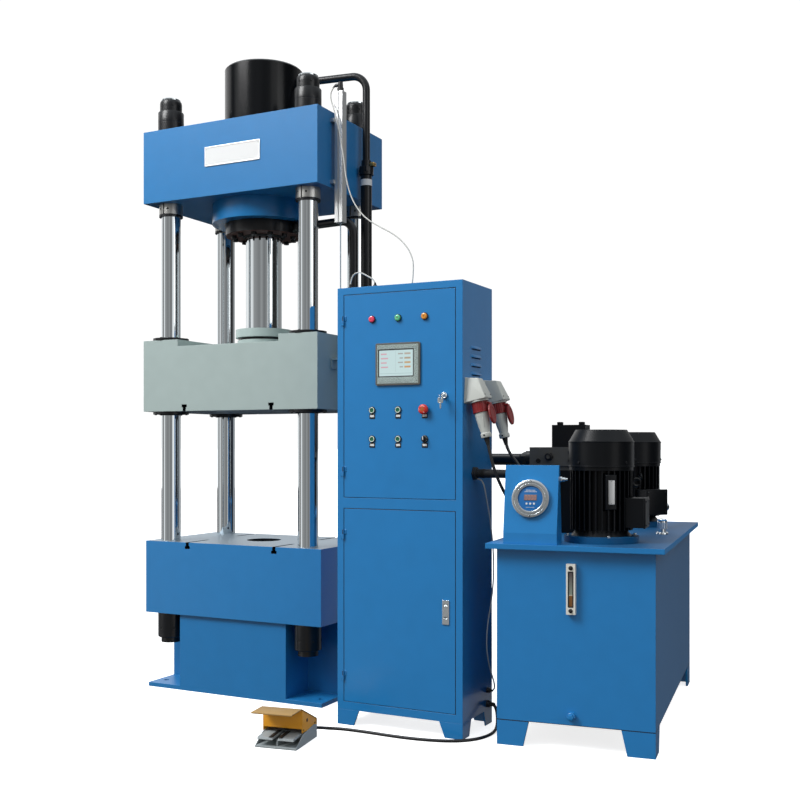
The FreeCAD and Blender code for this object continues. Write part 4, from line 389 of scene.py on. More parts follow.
# Painted sheen: the guard's orange made paler and greyer where its brow and back face the light.
pedal_roof_sheen = enamel("pedal_roof_painted_sheen", (0.44, 0.27, 0.095), 0.003, 0.0003, 0.5, 0.1)
pedal_grey = enamel("pedal_grey_paint", (0.36, 0.4, 0.41), 0.002, 0.0002, 0.45, 0.1)
column_chrome = chrome("column_hard_chrome", ends=CHROME_LOW)
satin_chrome = chrome("satin_chrome_gauge_rim", 0.2, 0.66)
rod_and_bracket = enamel("rod_steel_and_painted_bracket", SLIDE_GREY, 0.004, 0.0003, 0.42, 0.15, bare=rod_steel)
bright_chrome = chrome("bright_chrome_fittings", 0.12, 0.8, 0.00001)
black_steel = blackened("blackened_steel", 0.0035, shine=0.3)
barrel_black = blackened("barrel_gloss_black", 0.0025, 0.12, 0.08, 0.006, shine=0.2)
motor_black = blackened("motor_black_paint", 0.0035, 0.3, 0.08, painted=(0, 0.8325, shade(BLUE, 0.45)), shine=0.16)
valve_grey = blackened("valve_dark_grey", 0.004, 0.4, 0.05, painted=(1.085, 1.1885, (0.105, 0.103, 0.096)), shine=0.25)
ground_steel = bare_metal("ground_steel")
sensor_alloy = bare_metal("anodised_alloy", (0.62, 0.63, 0.63), 0.35, (1, 1, 0.05), plug=SENSOR_PLUG_LOW)
gauge_frame = plastic("level_gauge_frame_anodised", (0.8, 0.78, 0.7), 0.38)
galvanised = bare_metal("galvanised_sheet", (0.55, 0.57, 0.58), 0.45, (0.2, 0.2, 0.2))
brass = bare_metal("brass", (0.62, 0.42, 0.15), 0.3)
bronze = bare_metal("bush_bronze", (0.45, 0.28, 0.12), 0.35)
black_plastic = plastic("black_plastic", (0.014, 0.014, 0.015), 0.42)
socket_grey = plastic("socket_light_grey_plastic", (0.56, 0.58, 0.54), 0.42)
socket_red = plastic("socket_red_plastic", (0.24, 0.011, 0.012), 0.34)
stop_red = plastic("stop_button_red", (0.62, 0.028, 0.02), 0.3)
button_green = plastic("button_green", (0.008, 0.125, 0.055), 0.32)
label_white = plastic("label_white", (0.72, 0.73, 0.73), 0.5)
ring_grey = plastic("button_ring_pale", (0.78, 0.92, 0.85), 0.25)
tag_black = plastic("legend_plate_black", (0.01, 0.01, 0.011), 0.35)
rubber = plastic("black_rubber", (0.01, 0.01, 0.01), 0.6, 0.002, 0.0002)
underside_brown_reflection = plastic("gland_underside_painted_reflection", (0.085, 0.03, 0.022), 0.5)
gauge_blue = plastic("gauge_face_blue", (0.01, 0.135, 0.4), 0.25, 0.003, 0.00002)
stop_centre = plastic("stop_button_centre", (0.42, 0.1, 0.02), 0.35)
lens_red = lens("lamp_red_lens", (0.66, 0.045, 0.1), 0.25)
lens_green = lens("lamp_green_lens", (0.09, 0.44, 0.22), 0.2)
lens_amber = lens("lamp_amber_lens", (0.62, 0.24, 0.02), 0.2)
lens_heart = lens("lamp_dark_centre", (0.2, 0.1, 0.03), 0.1)
screen_dim = plastic("gauge_display_window", (0.16, 0.15, 0.17), 0.2)
digit_red = lens("gauge_digits", (0.52, 0.2, 0.13), 0.2)
black_cable = cable_skin("cable_black_rubber", (0.014, 0.014, 0.015))
grey_cable = cable_skin("cable_light_grey", (0.5, 0.5, 0.47), 0.4)

# The finishes of the CAD nodes that show.
for finish, nodes in (
    (press_blue, "pedestal crown"), (table_blue, "press_table"), (column_chrome, "columns ram"),
    (black_steel, "gland_ring guide_flanges pipes pipe_unions"), (barrel_black, "main_cylinder"),
    (slide_grey, "slide_block ram_flange"), (bronze, "guide_bushes"), (sensor_alloy, "position_sensor"),
    (rod_and_bracket, "sensor_rod"), (cabinet_blue, "cabinet_shell cabinet_feet door_hinges"),
    (galvanised, "control_panel"), (door_blue, "upper_door lower_door"), (bright_chrome, "latch_plate latch_lever"),
    (tank_blue, "oil_tank tank_feet gauge_console"), (lid_blue, "tank_lid"), (gauge_frame, "level_gauge"),
    (satin_chrome, "pressure_gauge"), (motor_black, "motor_front motor_rear"),
    (black_plastic, "motor_front_fan motor_rear_fan"), (valve_grey, "valve_block"),
    (pedal_grey, "pedal_base treadle_left treadle_right"),
):
    for name in nodes.split():
        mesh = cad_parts[name].data
        mesh.materials.clear()
        mesh.materials.append(finish)


# ---------------------------------------------------------------- making meshes

def metres(*lengths):
    return tuple(length / 1000 for length in lengths)


def new_object(name, data):
    made = bpy.data.objects.new(name, data)
    bpy.context.scene.collection.objects.link(made)
    return made


class Part:
    """A mesh put together from boxes, turned forms and prisms, each in a frame of its own, in millimetres."""

    def __init__(self, name, *finishes):
        self.name, self.finishes, self.whole = name, finishes, bmesh.new()

    def take(self, piece, at, finish, bevel, segments=2):
        """Round a piece's sharp edges, put it in its frame and add it to the whole."""
        bmesh.ops.remove_doubles(piece, verts=piece.verts, dist=1e-6)
        bmesh.ops.recalc_face_normals(piece, faces=piece.faces)
        if bevel:
            sharp = [e for e in piece.edges if len(e.link_faces) == 2 and e.calc_face_angle() > 0.6]
            bmesh.ops.bevel(piece, geom=sharp, offset=bevel / 1000, segments=segments, profile=0.6, affect="EDGES",
                clamp_overlap=True)
        for face in piece.faces:
            face.smooth, face.material_index = True, self.finishes.index(finish)
        for edge in piece.edges:
            edge.smooth = len(edge.link_faces) == 2 and edge.calc_face_angle() < 0.6
        piece.transform(at)
        loose = bpy.data.meshes.new("loose")
        piece.to_mesh(loose)
        piece.free()
        self.whole.from_mesh(loose)
        bpy.data.meshes.remove(loose)
        return self

    def block(self, low, high, finish, bevel=1, at=Matrix()):
        """A box between two corners."""
        low, high = Vector(metres(*low)), Vector(metres(*high))
        piece = bmesh.new()
        bmesh.ops.create_cube(piece, size=1)
        piece.transform(Matrix.Translation((low + high) / 2) @ Matrix.Diagonal((*(high - low), 1)))
        return self.take(piece, at, finish, bevel)

    def prism(self, outline, low, high, finish, bevel=1, at=Matrix()):
        """An outline of (x, y) points drawn out between two heights."""
        piece = bmesh.new()
        base = piece.faces.new([piece.verts.new(metres(x, y, low)) for x, y in outline])
        top = bmesh.ops.extrude_face_region(piece, geom=[base])["geom"]
        bmesh.ops.translate(piece, verts=[v for v in top if isinstance(v, bmesh.types.BMVert)],
            vec=metres(0, 0, high - low))
        return self.take(piece, at, finish, bevel)

    def framed(self, outer, inner, low, high, finish, bevel=0.4, at=Matrix()):
        """A flat frame between two outlines that have as many points."""
        piece = bmesh.new()
        rows = [[piece.verts.new(metres(x, y, z)) for x, y in line] for line, z in ((outer, low), (outer, high),
            (inner, high), (inner, low))]
        for first, second in zip(rows, rows[1:] + rows[:1]):
            for i in range(len(outer)):
                piece.faces.new((first[i - 1], first[i], second[i], second[i - 1]))
        return self.take(piece, at, finish, bevel)

    def hull(self, points, finish, bevel=1, at=Matrix(), segments=3):
        """The convex form round a set of points."""
        piece = bmesh.new()
        for point in points:
            piece.verts.new(metres(*point))
        bmesh.ops.convex_hull(piece, input=piece.verts)
        bmesh.ops.dissolve_limit(piece, angle_limit=0.01, verts=piece.verts, edges=piece.edges)
        return self.take(piece, at, finish, bevel, segments)

    def turned(self, profile, finish, at=Matrix(), steps=40, bevel=0, bores=()):
        """A profile of (radius, height) points turned about Z; the ends on the axis close it.

        Each bore is a row of the profile, a step round it, a radius and a depth.
        """
        piece = bmesh.new()
        rings = []
        for radius, height in profile:
            radius, height = metres(radius, height)
            if radius < 1e-6:
                rings.append([piece.verts.new((0, 0, height))] * steps)
            else:
                rings.append([piece.verts.new((radius * math.cos(a), radius * math.sin(a), height))
                    for a in (2 * math.pi * i / steps for i in range(steps))])
        for low, high in zip(rings, rings[1:]):
            for i in range(steps):
                j = (i + 1) % steps
                corners = dict.fromkeys((low[i], low[j], high[j], high[i]))
                if len(corners) > 2:
                    piece.faces.new(corners)
        for row, step, radius, depth in bores:
            drill(piece, rings[row][step], *metres(radius, depth))
        return self.take(piece, at, finish, bevel)

    def done(self, body, slot, *replaces):
        """The finished piece, riding on a body, in place of the CAD nodes named."""
        mesh = bpy.data.meshes.new(self.name)
        self.whole.to_mesh(mesh)
        self.whole.free()
        for finish in self.finishes:
            mesh.materials.append(finish)
        piece = new_object(self.name, mesh)
        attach(piece, body)
        if replaces:
            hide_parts(*replaces)
        return piece


def drill(piece, centre, radius, depth):
    """Sink a round blind hole into a turned wall, in place of one of its corners; metres."""
    middle = centre.co.copy()
    wall = math.hypot(middle.x, middle.y)
    out = Vector((middle.x / wall, middle.y / wall, 0))
    side = Vector((-out.y, out.x, 0))
    rim = list({v for face in centre.link_faces for v in face.verts if v is not centre})
    rim.sort(key=lambda v: math.atan2((v.co - middle).z, (v.co - middle).dot(side)))
    bmesh.ops.delete(piece, geom=[centre], context="VERTS")
    for corner in rim:
        away = corner.co - middle
        away = (away - out * away.dot(out)).normalized() * radius
        corner.co = middle + away + out * (math.sqrt(wall * wall - away.dot(side) ** 2) - wall)
    floor = [piece.verts.new(corner.co - out * depth) for corner in rim]
    for i in range(len(rim)):
        piece.faces.new((rim[i - 1], rim[i], floor[i], floor[i - 1]))
    piece.faces.new(floor)


def moved(x, y, z):
    return Matrix.Translation(metres(x, y, z))


def turn(degrees, axis):
    return Matrix.Rotation(math.radians(degrees), 4, axis)


FRONT = turn(90, "X")   # a form made about +Z comes to look out of a face towards -Y
RIGHT = turn(90, "Y")   # the same, out of a face towards +X
DOWN = turn(180, "X")
UNIT = moved(1392, -503, 0) @ turn(6.4, "Z")
PEDAL = moved(584, -935, 0) @ turn(9, "Z")
LID_TOP = 806   # the tank lid's top
ACROSS = Matrix(((0, 0, 1, 0), (1, 0, 0, 0), (0, 1, 0, 0), (0, 0, 0, 1)))   # an outline's x, y become y, z
COLUMNS = [(x, y) for x in (-398, 398) for y in (-230, 230)]
COLUMN_R = 47.7   # just over the columns' radius
DOOR_FACE = -476


def on_door(x, z):
    """A frame on the cabinet doors' face: right, up and out towards the front."""
    return moved(x, DOOR_FACE, z) @ FRONT


def round_box(half_x, half_y, r, x=0.0, y=0.0, steps=3):
    """Outline of a rectangle with rounded corners."""
    points = []
    for quarter, (side, end) in enumerate(((1, 1), (-1, 1), (-1, -1), (1, -1))):
        for step in range(steps + 1):
            a = math.pi / 2 * (quarter + step / steps)
            points.append((x + side * (half_x - r) + r * math.cos(a), y + end * (half_y - r) + r * math.sin(a)))
    return points


def circle(r, count=16, x=0.0, y=0.0):
    return [(x + r * math.cos(2 * math.pi * i / count), y + r * math.sin(2 * math.pi * i / count))
        for i in range(count)]


def ribbed(r, depth, count):
    """Outline of a round grip with ribs along it."""
    return [(radius * math.cos(a), radius * math.sin(a)) for i in range(count)
        for a, radius in ((2 * math.pi * (i + at) / count, r - low) for at, low in ((0, 0), (0.4, 0), (0.55, depth),
        (0.85, depth)))]


def wire_ring(r, thick, z=0.0, steps=8):
    """Profile of a ring of round wire."""
    return [(r + thick * math.cos(2 * math.pi * i / steps), z + thick * math.sin(2 * math.pi * i / steps))
        for i in range(steps + 1)]


def dome(r, low, high, steps=5):
    """Profile of a shallow dome that ends on the axis."""
    return [(r * math.cos(math.pi / 2 * i / steps) if i < steps else 0,
        low + (high - low) * math.sin(math.pi / 2 * i / steps)) for i in range(steps + 1)]


def cap_screw(part, finish, at, head, tall, socket=True):
    """A socket-head screw: a round head with a hexagon recess, made pointing up +Z."""
    edge = head * 0.06
    profile = [(head / 2, 0), (head / 2, tall - edge), (head / 2 - edge, tall)]
    if socket:
        profile += [(head * 0.26, tall), (head * 0.26, tall * 0.45), (0, tall * 0.45)]
    else:
        profile += [(0, tall)]
    return part.turned(profile, finish, at, 18)


def screw_circle(part, finish, at, r, count, head, tall, start=0):
    """Cap screws evenly round a circle."""
    for i in range(count):
        cap_screw(part, finish, at @ turn(start + 360 * i / count, "Z") @ moved(r, 0, 0), head, tall)


def gland_nut(part, finish, at, r, tall):
    """A cable gland: hexagon, ribbed cap nut and rounded end over a plain gland of radius r."""
    corners = [(1.19 * r * math.cos(math.pi * i / 3), 1.19 * r * math.sin(math.pi * i / 3)) for i in range(6)]
    part.prism(corners, 0, tall * 0.38, finish, r * 0.05, at)
    part.prism(ribbed(r * 1.03, r * 0.02, 18), tall * 0.38, tall * 0.8, finish, 0, at)
    return part.turned([(r * 1.02, tall * 0.8), (r * 1.01, tall * 1.02), (r * 0.92, tall * 1.12),
        (r * 0.7, tall * 1.16), (0, tall * 1.16)], finish, at, 24)


def aim(start, towards):
    """A frame at a route's point in millimetres, looking along the route."""
    start, towards = Vector(start) / 1000, Vector(towards) / 1000
    return Matrix.Translation(start) @ (towards - start).to_track_quat("Z", "Y").to_matrix().to_4x4()


def strain_relief(part, finish, at, r, wire, long):
    """A tapered sleeve with ring grooves round the first stretch of a cable."""
    profile, rings = [(0, -1), (r, -1)], 7
    for i in range(rings):
        low, high = long * i / rings, long * (i + 0.55) / rings
        wide = r + (wire * 1.12 - r) * i / rings
        profile += [(wide, low), (wide * 0.985, high), (wide * 0.88, high + 0.3), (wide * 0.87, low + long / rings)]
    profile += [(wire * 1.1, long), (wire * 0.9, long + 0.5)]
    return part.turned(profile, finish, at, 24)


def hex_head(part, finish, at, across, tall):
    """A hexagon head with a washer under it."""
    part.turned([(across * 0.72, 0), (across * 0.72, across * 0.1), (0, across * 0.1)], finish, at, 20)
    corners = [(across / math.sqrt(3) * math.cos(math.pi * i / 3), across / math.sqrt(3) * math.sin(math.pi * i / 3))
        for i in range(6)]
    return part.prism(corners, across * 0.1, tall, finish, across * 0.05, at)


# ---------------------------------------------------------------- cables

def cable(name, node, points, diameter, finish):
    """A cable on its route's own points, in place of its CAD solid; diameter in metres."""
    curve = bpy.data.curves.new(name, "CURVE")
    curve.dimensions, curve.bevel_depth, curve.bevel_resolution = "3D", diameter / 2, 4
    curve.resolution_u, curve.use_fill_caps = 10, True
    line = curve.splines.new("NURBS")
    line.points.add(len(points) - 1)
    for spot, point in zip(line.points, points):
        spot.co = (*metres(*point), 1)
    line.order_u, line.use_endpoint_u = 3, True
    curve.materials.append(finish)
    piece = new_object(name, curve)
    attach(piece, "frame")
    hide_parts(node)
    list(metres(*points[0]))


# The routes' points are the part's own, in millimetres.
SENSOR_CABLE = [(513, -175, 2863), (498, -182, 2848), (500, -202, 2800), (528, -212, 2740), (560, -222, 2640),
    (589, -232, 2510), (610, -243, 2389), (650, -250, 2290), (712, -258, 2216), (790, -266, 2168), (872, -273, 2124),
    (932, -281, 2070), (968, -290, 2010), (975, -297, 1950), (968, -300, 1885)]
ROOF_LOOP = [(718, -398, 1885), (718, -398, 1912), (732, -396, 1942), (762, -395, 1950), (800, -395, 1930),
    (838, -395, 1908), (838, -395, 1885)]
FLOOR_CABLE = [(1297, -357, 1058), (1309, -357, 1057), (1321, -354, 1046), (1326, -346, 1022), (1324, -322, 978),
    (1319, -278, 912), (1315, -241, 836), (1314, -219, 755), (1314, -212, 672), (1314, -222, 590), (1314, -250, 512),
    (1314, -286, 438), (1315, -299, 360), (1316, -281, 290), (1318, -248, 228), (1321, -224, 186), (1319, -215, 162),
    (1309, -214, 150), (1297, -214, 150)]
PEDAL_CABLE = [(693.9, -682.7, 24), (689.5, -655, 24), (694, -614, 14), (722, -580, 7), (778, -566, 7), (850, -564, 7),
    (930, -566, 7), (1010, -570, 7), (1085, -569, 7), (1155, -560, 7), (1222, -544, 7), (1286, -514, 7),
    (1334, -464, 7), (1358, -400, 7), (1362, -334, 7), (1354, -276, 14), (1340, -236, 46), (1326, -217, 80),
    (1312, -214, 92), (1297, -214, 92)]
FRONT_PLUG_CABLE = [(1365.1, -420, 1228.5), (1374.7, -420, 1185.5), (1392, -415, 1110), (1410, -395, 1045),
    (1434, -358, 975), (1462, -316, 925), (1479, -292, 872), (1479, -292, 822)]
REAR_PLUG_CABLE = [(1365.1, -215, 1228.5), (1374.7, -215, 1185.5), (1402, -228, 1150), (1438, -242, 1116),
    (1484, -262, 1040), (1522, -280, 950), (1558.5, -283.1, 854), (1558.5, -283.1, 822)]
MOTOR_TRUNK = [(1297, -357, 1080), (1355, -357, 1080), (1407, -322, 1079), (1431, -257, 1075), (1440, -172, 1064),
    (1454, -84, 1044), (1492.5, 36.6, 1010), (1483.8, 114.1, 1010)]


for name, node, route, diameter, length in (
    ("sensor_lead", "sensor_cable", SENSOR_CABLE, 0.006, 1.13),
    ("roof_loop_lead", "thin_cables", ROOF_LOOP, 0.006, 0.185),
    ("floor_lead", "thin_cables", FLOOR_CABLE, 0.006, 1.002),
):
    cable(name, node, route, diameter, grey_cable)
cable("pedal_lead", "pedal_cable", PEDAL_CABLE, 0.013, black_cable)
cable("front_plug_lead", "power_cables", FRONT_PLUG_CABLE, 0.013, black_cable)
cable("rear_plug_lead", "power_cables", REAR_PLUG_CABLE, 0.013, black_cable)
cable("motor_trunk_lead", "power_cables", MOTOR_TRUNK, 0.036, black_cable)


# ---------------------------------------------------------------- small parts of the press

def name_plate():
    """Blank plate on the crown: a white panel in a silver frame, on four rivets."""
    part = Part("crown_name_plate", sensor_alloy, label_white)
    at = moved(31, -315, 2575) @ FRONT
    part.framed(round_box(158, 47, 3), round_box(152, 41, 2), 0, 3, sensor_alloy, 0.6, at)
    part.prism(round_box(152.5, 41.5, 2), 0, 2, label_white, 0, at)
    for x in (-147, 147):
        for y in (-36, 36):
            part.turned(dome(2.8, 2, 3.6), sensor_alloy, at @ moved(x, y, 0), 12)
    part.done("frame", "bright_chrome")


def column_nuts():
    """Round nuts: the upper ones are closed over the columns' ends, with tommy holes round the neck; black discs just
    inside the holes are painted shade.
    """
    part = Part("turned_column_nuts", black_steel, rubber)
    for x, y in COLUMNS:
        at = moved(x, y, 0)
        part.turned([(COLUMN_R, 2741), (62, 2741), (63, 2742), (63, 2790), (62.2, 2791), (62.2, 2793), (63, 2794),
            (63, 2842), (61, 2845), (54, 2845.5), (54, 2861), (54, 2868), (54, 2875), (54, 2888), (52, 2897),
            (46, 2905), (34, 2910.5), (0, 2912.5)], black_steel, at, 48, 0, [(11, step, 5.2, 9)
            for step in range(2, 48, 8)])
        part.turned([(COLUMN_R, 250), (60, 250), (63, 253), (63, 288), (63, 296), (63, 304), (63, 369), (62, 370),
            (COLUMN_R, 370)], black_steel, at, 48, 0, [(4, step, 6, 10) for step in range(3, 48, 8)])
        # Painted shade: a black disc just inside each tommy hole stands in for the shade in it.
        for first, z, wall, r in ((2, 2868, 54, 5.1), (3, 296, 63, 5.9)):
            for step in range(first, 48, 8):
                part.turned([(r, 0), (0, 0)], rubber, at @ turn(7.5 * step, "Z") @ moved(wall - 2, 0, z) @ RIGHT, 12)
    part.done("frame", "black_oxide", "column_nuts")


def column_collars():
    """Split collars with their clamping screws, the split drawn as a black strip of painted shade, and a black ring
    below.
    """
    part = Part("split_collars", ground_steel, black_steel, black_plastic)
    for x, y in COLUMNS:
        at = moved(x, y, 0)
        part.turned([(COLUMN_R, 2336), (57, 2336), (58, 2337), (58, 2355), (58, 2362), (58, 2369), (58, 2387),
            (57, 2388), (COLUMN_R, 2388)], ground_steel, at, 48, 0, [(4, step, 5.5, 6) for step in (9, 15, 33, 39)])
        part.turned([(COLUMN_R, 2326), (57.5, 2326), (58.3, 2326.8), (58.3, 2335.2), (57.5, 2336), (COLUMN_R, 2336)],
            black_steel, at, 48)
        # Painted shade: a thin black strip in each collar's split stands in for the shade in the gap.
        for side in (-1, 1):
            part.block((x - 1.5, y + side * 57.9 - 4, 2336.5), (x + 1.5, y + side * 57.9 + 0.4, 2387.8),
                black_plastic, 0)
        for step in (9, 15, 33, 39):
            screw = at @ turn(7.5 * step, "Z") @ moved(51.5, 0, 2362) @ RIGHT
            cap_screw(part, black_steel, screw, 9, 5)
    part.done("frame", "ground_steel", "column_collars")


def gland_fittings():
    """The gland's cap screws, a brown ring of painted reflection on its shaded underside, and the ram's wiper."""
    part = Part("gland_screws_and_wiper", black_steel, underside_brown_reflection, rubber)
    below = moved(0, 0, 2235) @ DOWN
    # Painted reflection: a brown surround reflected in the gland's shaded underside.
    part.turned([(104.5, 0), (104.5, 1.2), (188.5, 1.2), (188.5, 0)], underside_brown_reflection, below, 64)
    part.turned([(91.2, 0), (91.2, 7), (94, 8), (103, 5), (104, 0)], rubber, below, 48)
    screw_circle(part, black_steel, below @ moved(0, 0, 1), 150, 12, 27, 16, 15)
    part.done("frame", "black_oxide")


def pipe_fittings():
    """Union nuts at the cylinder's ports, the bleed tap's brass block and the blank band under the union."""
    part = Part("pipe_fittings", black_steel, brass, label_white, black_plastic)
    for y, port, level, r in ((75, 207.7, 2985, 23.5), (-50, 202.9, 2262.5, 25.5)):
        at = turn(math.degrees(math.atan2(y, 540)), "Z") @ moved(port, 0, level) @ RIGHT
        corners = circle(r * 1.15, 6)
        part.prism(corners, 0.5, 20, black_steel, 1.5, at)
        part.turned([(0, 20), (r * 0.97, 20), (r * 0.9, 26), (r * 0.78, 29), (0, 29)], black_steel, at, 32)
    tap = moved(540, 75, 2549) @ RIGHT
    part.prism(circle(12.5, 6), 24, 34, brass, 0.8, tap)
    part.block((572, 60, 2540), (587, 90, 2558), brass, 2)
    part.turned([(4.5, 0), (4.5, 1.2), (0, 1.2)], black_plastic, moved(587, 75, 2549) @ RIGHT, 16)
    union = moved(540, 75, 0)
    part.prism(circle(38.5, 6), 2512, 2540, black_steel, 1.5, union)
    part.turned([(27.5, 2448), (27.8, 2448), (27.8, 2478), (27.5, 2478)], label_white, union, 32)
    for z in (2446, 2479):
        part.turned([(27.2, z), (27.9, z), (27.9, z + 1.6), (27.2, z + 1.6)], black_plastic, union, 32)
    part.done("frame", "black_oxide")


def slide_fittings():
    """Cap screws and wipers of the guide flanges, and the screws of the ram's flange; a black ring in the gap under
    the ram's flange is painted shade.
    """
    part = Part("slide_screws_and_wipers", black_steel, rubber)
    for x, y in COLUMNS:
        for at in (moved(x, y, 1724), moved(x, y, 1349) @ DOWN):
            screw_circle(part, black_steel, at, 75.5, 6, 12, 3.5, 30)
            part.turned([(48.2, 0), (48.2, 4), (49.5, 5), (56, 3), (57, 0)], rubber, at, 40)
    part.turned([(90.5, 1769), (90.5, 1775), (98.5, 1774), (99.5, 1769)], rubber, Matrix(), 56)
    # Painted shade: a black ring filling the gap between the ram's seat and its flange.
    part.turned([(92, 1716.5), (126.5, 1716.5), (126.5, 1727.8), (92, 1727.8)], black_steel, Matrix(), 56)
    screw_circle(part, black_steel, moved(0, 0, 1769), 122, 8, 14, 1.5, 22.5)
    part.done("slide", "black_oxide")


def sensor_fittings():
    """Clamp screws, the end caps and the plug's ribbed nut on the stroke sensor."""
    part = Part("sensor_fittings", black_steel, black_plastic)
    for z in (2405, 2690):
        for y in (-197, -153):
            cap_screw(part, black_steel, moved(509, y, z + 8) @ RIGHT, 9, 6)
    part.turned([(14.5, 2832), (15.2, 2833), (15.2, 2846.5), (14, 2848), (0, 2848)], black_plastic,
        moved(540, -175, 0), 24)
    part.prism(ribbed(11.8, 0.8, 20), 2850, 2864, black_plastic, 0, moved(540, -175, 0))
    strain_relief(part, black_plastic, aim(SENSOR_CABLE[0], SENSOR_CABLE[1]), 5.5, 3, 16)
    part.done("frame", "black_plastic")


# ---------------------------------------------------------------- small parts of the control cabinet

def operator_screen():
    part = Part("operator_screen", filmed_bezel, screen_glass, black_plastic)
    at = on_door(BEZEL[0] * 1000, BEZEL[1] * 1000)
    window = (79, 54, 1.5, -8, 4)
    step = (83.5, 58.5, 3, -8, 4)
    part.framed(round_box(104, 89, 7), round_box(*step), 0, 8, filmed_bezel, 1.2, at)
    part.framed(round_box(*step), round_box(*window), 1, 6.6, black_plastic, 0.3, at)
    part.prism(round_box(*window), 1, 6, screen_glass, 0, at)
    part.prism(round_box(97, 82, 3), -38, 0.5, black_plastic, 1, at)
    part.turned(dome(2.2, 7.8, 8.8), black_plastic, at @ moved(90, -72, 0), 12)
    part.done("upper_door", "screen_grey", "touch_screen")


def pilot_lamps():
    """Three domed lenses in thin dark rings, with their barrels behind the door."""
    part = Part("pilot_lamp_set", tag_black, lens_red, lens_green, lens_amber, lens_heart)
    for x, finish in ((867.5, lens_red), (990.5, lens_green), (1113.5, lens_amber)):
        at = on_door(x, 1730)
        part.turned([(0, -38), (10.5, -38), (11, -37), (11, 0), (15.5, 0), (15.5, 5), (15, 6.2), (13.4, 6.2), (13, 3),
            (0, 3)], tag_black, at, 32)
        part.turned([(12.9, 3), (12.9, 9), (12.2, 11), (10, 12.6), (6.6, 13), (5.8, 12.4), (0, 12.4)], finish, at, 32)
        part.turned([(3, 12.3), (2.8, 12.8), (0, 12.9)], lens_heart, at, 20)
    part.done("upper_door", "lamp_lens", "pilot_lamps")


BUTTONS = (("start_button", 867.5, 1345), ("stop_button", 990.5, 1345), ("up_button", 867.5, 1223),
    ("down_button", 990.5, 1223))
STOP, SELECTOR, LOCK = (1113.5, 1345), (1113.5, 1223), (1202, 1401)


def panel_fittings():
    """Bezels with bright rings, their barrels, the legend plates and the lock's housing."""
    part = Part("panel_fittings", black_plastic, bright_chrome, tag_black, label_white, ring_grey)
    for x, z, bore in [(x, z, 9.3) for name, x, z in BUTTONS] + [(*STOP, 8.3), (*SELECTOR, 8.3)]:
        at = on_door(x, z)
        part.turned([(12.1, 5), (13.3, 5.8), (14.8, 5.2), (15.5, 3.6), (15.5, 0), (11, 0), (11, -37), (10.5, -38),
            (0, -38)], black_plastic, at, 40)
        part.turned([(bore, -20), (bore, 6.2), (bore + 0.6, 7), (11.7, 6.8), (12.3, 4.8)], ring_grey, at, 40)
        tag = on_door(x, z - 25.8)
        part.prism(round_box(13, 10, 1.5), 0, 1.8, tag_black, 0.3, tag)
        part.prism(round_box(9.5, 4.5, 0.6, 0, 0.8), 1.7, 2, label_white, 0, tag)
    lock = on_door(*LOCK)
    part.turned([(8.3, -34), (8.3, 7.4), (9.2, 8), (12.2, 8), (13.6, 6.4), (14, 0), (11, 0), (11, -37), (0, -38)],
        bright_chrome, lock, 40)
    part.done("upper_door", "black_plastic", "panel_bezels")


def push_buttons():
    for name, x, z in BUTTONS:
        part = Part(name + "_cap", button_green)
        part.turned([(0, -14), (9, -14), (9, 5), (8.4, 5.9), (7.6, 6), (5, 5.3), (0, 5)], button_green,
            on_door(x, z), 36)
        part.done(name, "green_plastic", name)


def stop_button():
    part = Part("emergency_mushroom", stop_red, stop_centre, label_white)
    at = on_door(*STOP)
    part.turned([(0, -14), (8, -14), (8, 12), (19.5, 12), (21, 13.2), (21, 19.5), (20.6, 21.5), (19, 24.5),
        (15.5, 26.8), (10.5, 27.8), (9.8, 27.2), (0, 27.2)], stop_red, at, 48)
    part.turned(dome(9.4, 27, 28), stop_centre, at, 28)
    for i in range(3):
        part.block((-3.2, -0.9, 0), (3.2, 0.9, 0.6), label_white, 0,
            at @ turn(120 * i + 90, "Z") @ moved(0, 14.5, 26.8) @ turn(-17, "X"))
    part.done("emergency_button", "red_plastic", "emergency_button")


def selector():
    part = Part("selector_grip", black_plastic, label_white)
    at = on_door(*SELECTOR)
    part.turned([(0, -14), (8, -14), (8, 6.3), (12, 6.3), (12, 11.2), (11.2, 12), (0, 12)], black_plastic, at, 36)
    part.hull([(x * side, y, z) for side in (-1, 1) for x, y, z in ((4, -11.8, 11.5), (3.6, 11.8, 11.5),
        (3, -11.2, 22), (2.4, 11.2, 22))], black_plastic, 0.9, at)
    part.hull([(x * side, y, z) for side in (-1, 1) for x, y, z in ((2.4, -3, 21.2), (2, 10.8, 21.2), (2.2, -3, 22.5),
        (1.8, 10.6, 22.5))], label_white, 0, at)
    part.done("selector", "black_plastic", "selector_knob")


def lock_key():
    """The lock's plug with its key, and a second key hanging on the ring."""
    part = Part("cabinet_keys", bright_chrome)
    at = on_door(*LOCK)
    part.turned([(0, -19.7), (8, -19.7), (8, 7.6), (7.4, 8), (0, 8)], bright_chrome, at, 28)
    flat = at @ turn(90, "X")
    part.framed(round_box(11, 11.5, 6, 0, 30.5), circle(3.5, 16, 0, 33.5), -1, 1, bright_chrome, 0.3, flat)
    part.block((-4, 7.5, -1), (4, 19.5, 1), bright_chrome, 0.3, flat)
    part.turned(wire_ring(9.5, 0.8), bright_chrome, at @ moved(0, -7, 40.5) @ RIGHT, 32)
    spare = at @ moved(0.6, -13, 40.5)
    part.framed(round_box(12, 11.5, 5, 0, -8), circle(3, 16, 0, -1.5), -0.9, 0.9, bright_chrome, 0.3, spare)
    part.prism([(-3.5, -17), (3.5, -17), (3.5, -22), (2.8, -40), (0, -43), (-2.8, -40), (-3.5, -22)], -0.8, 0.8,
        bright_chrome, 0.2, spare)
    part.done("door_key", "bright_chrome", "door_key")


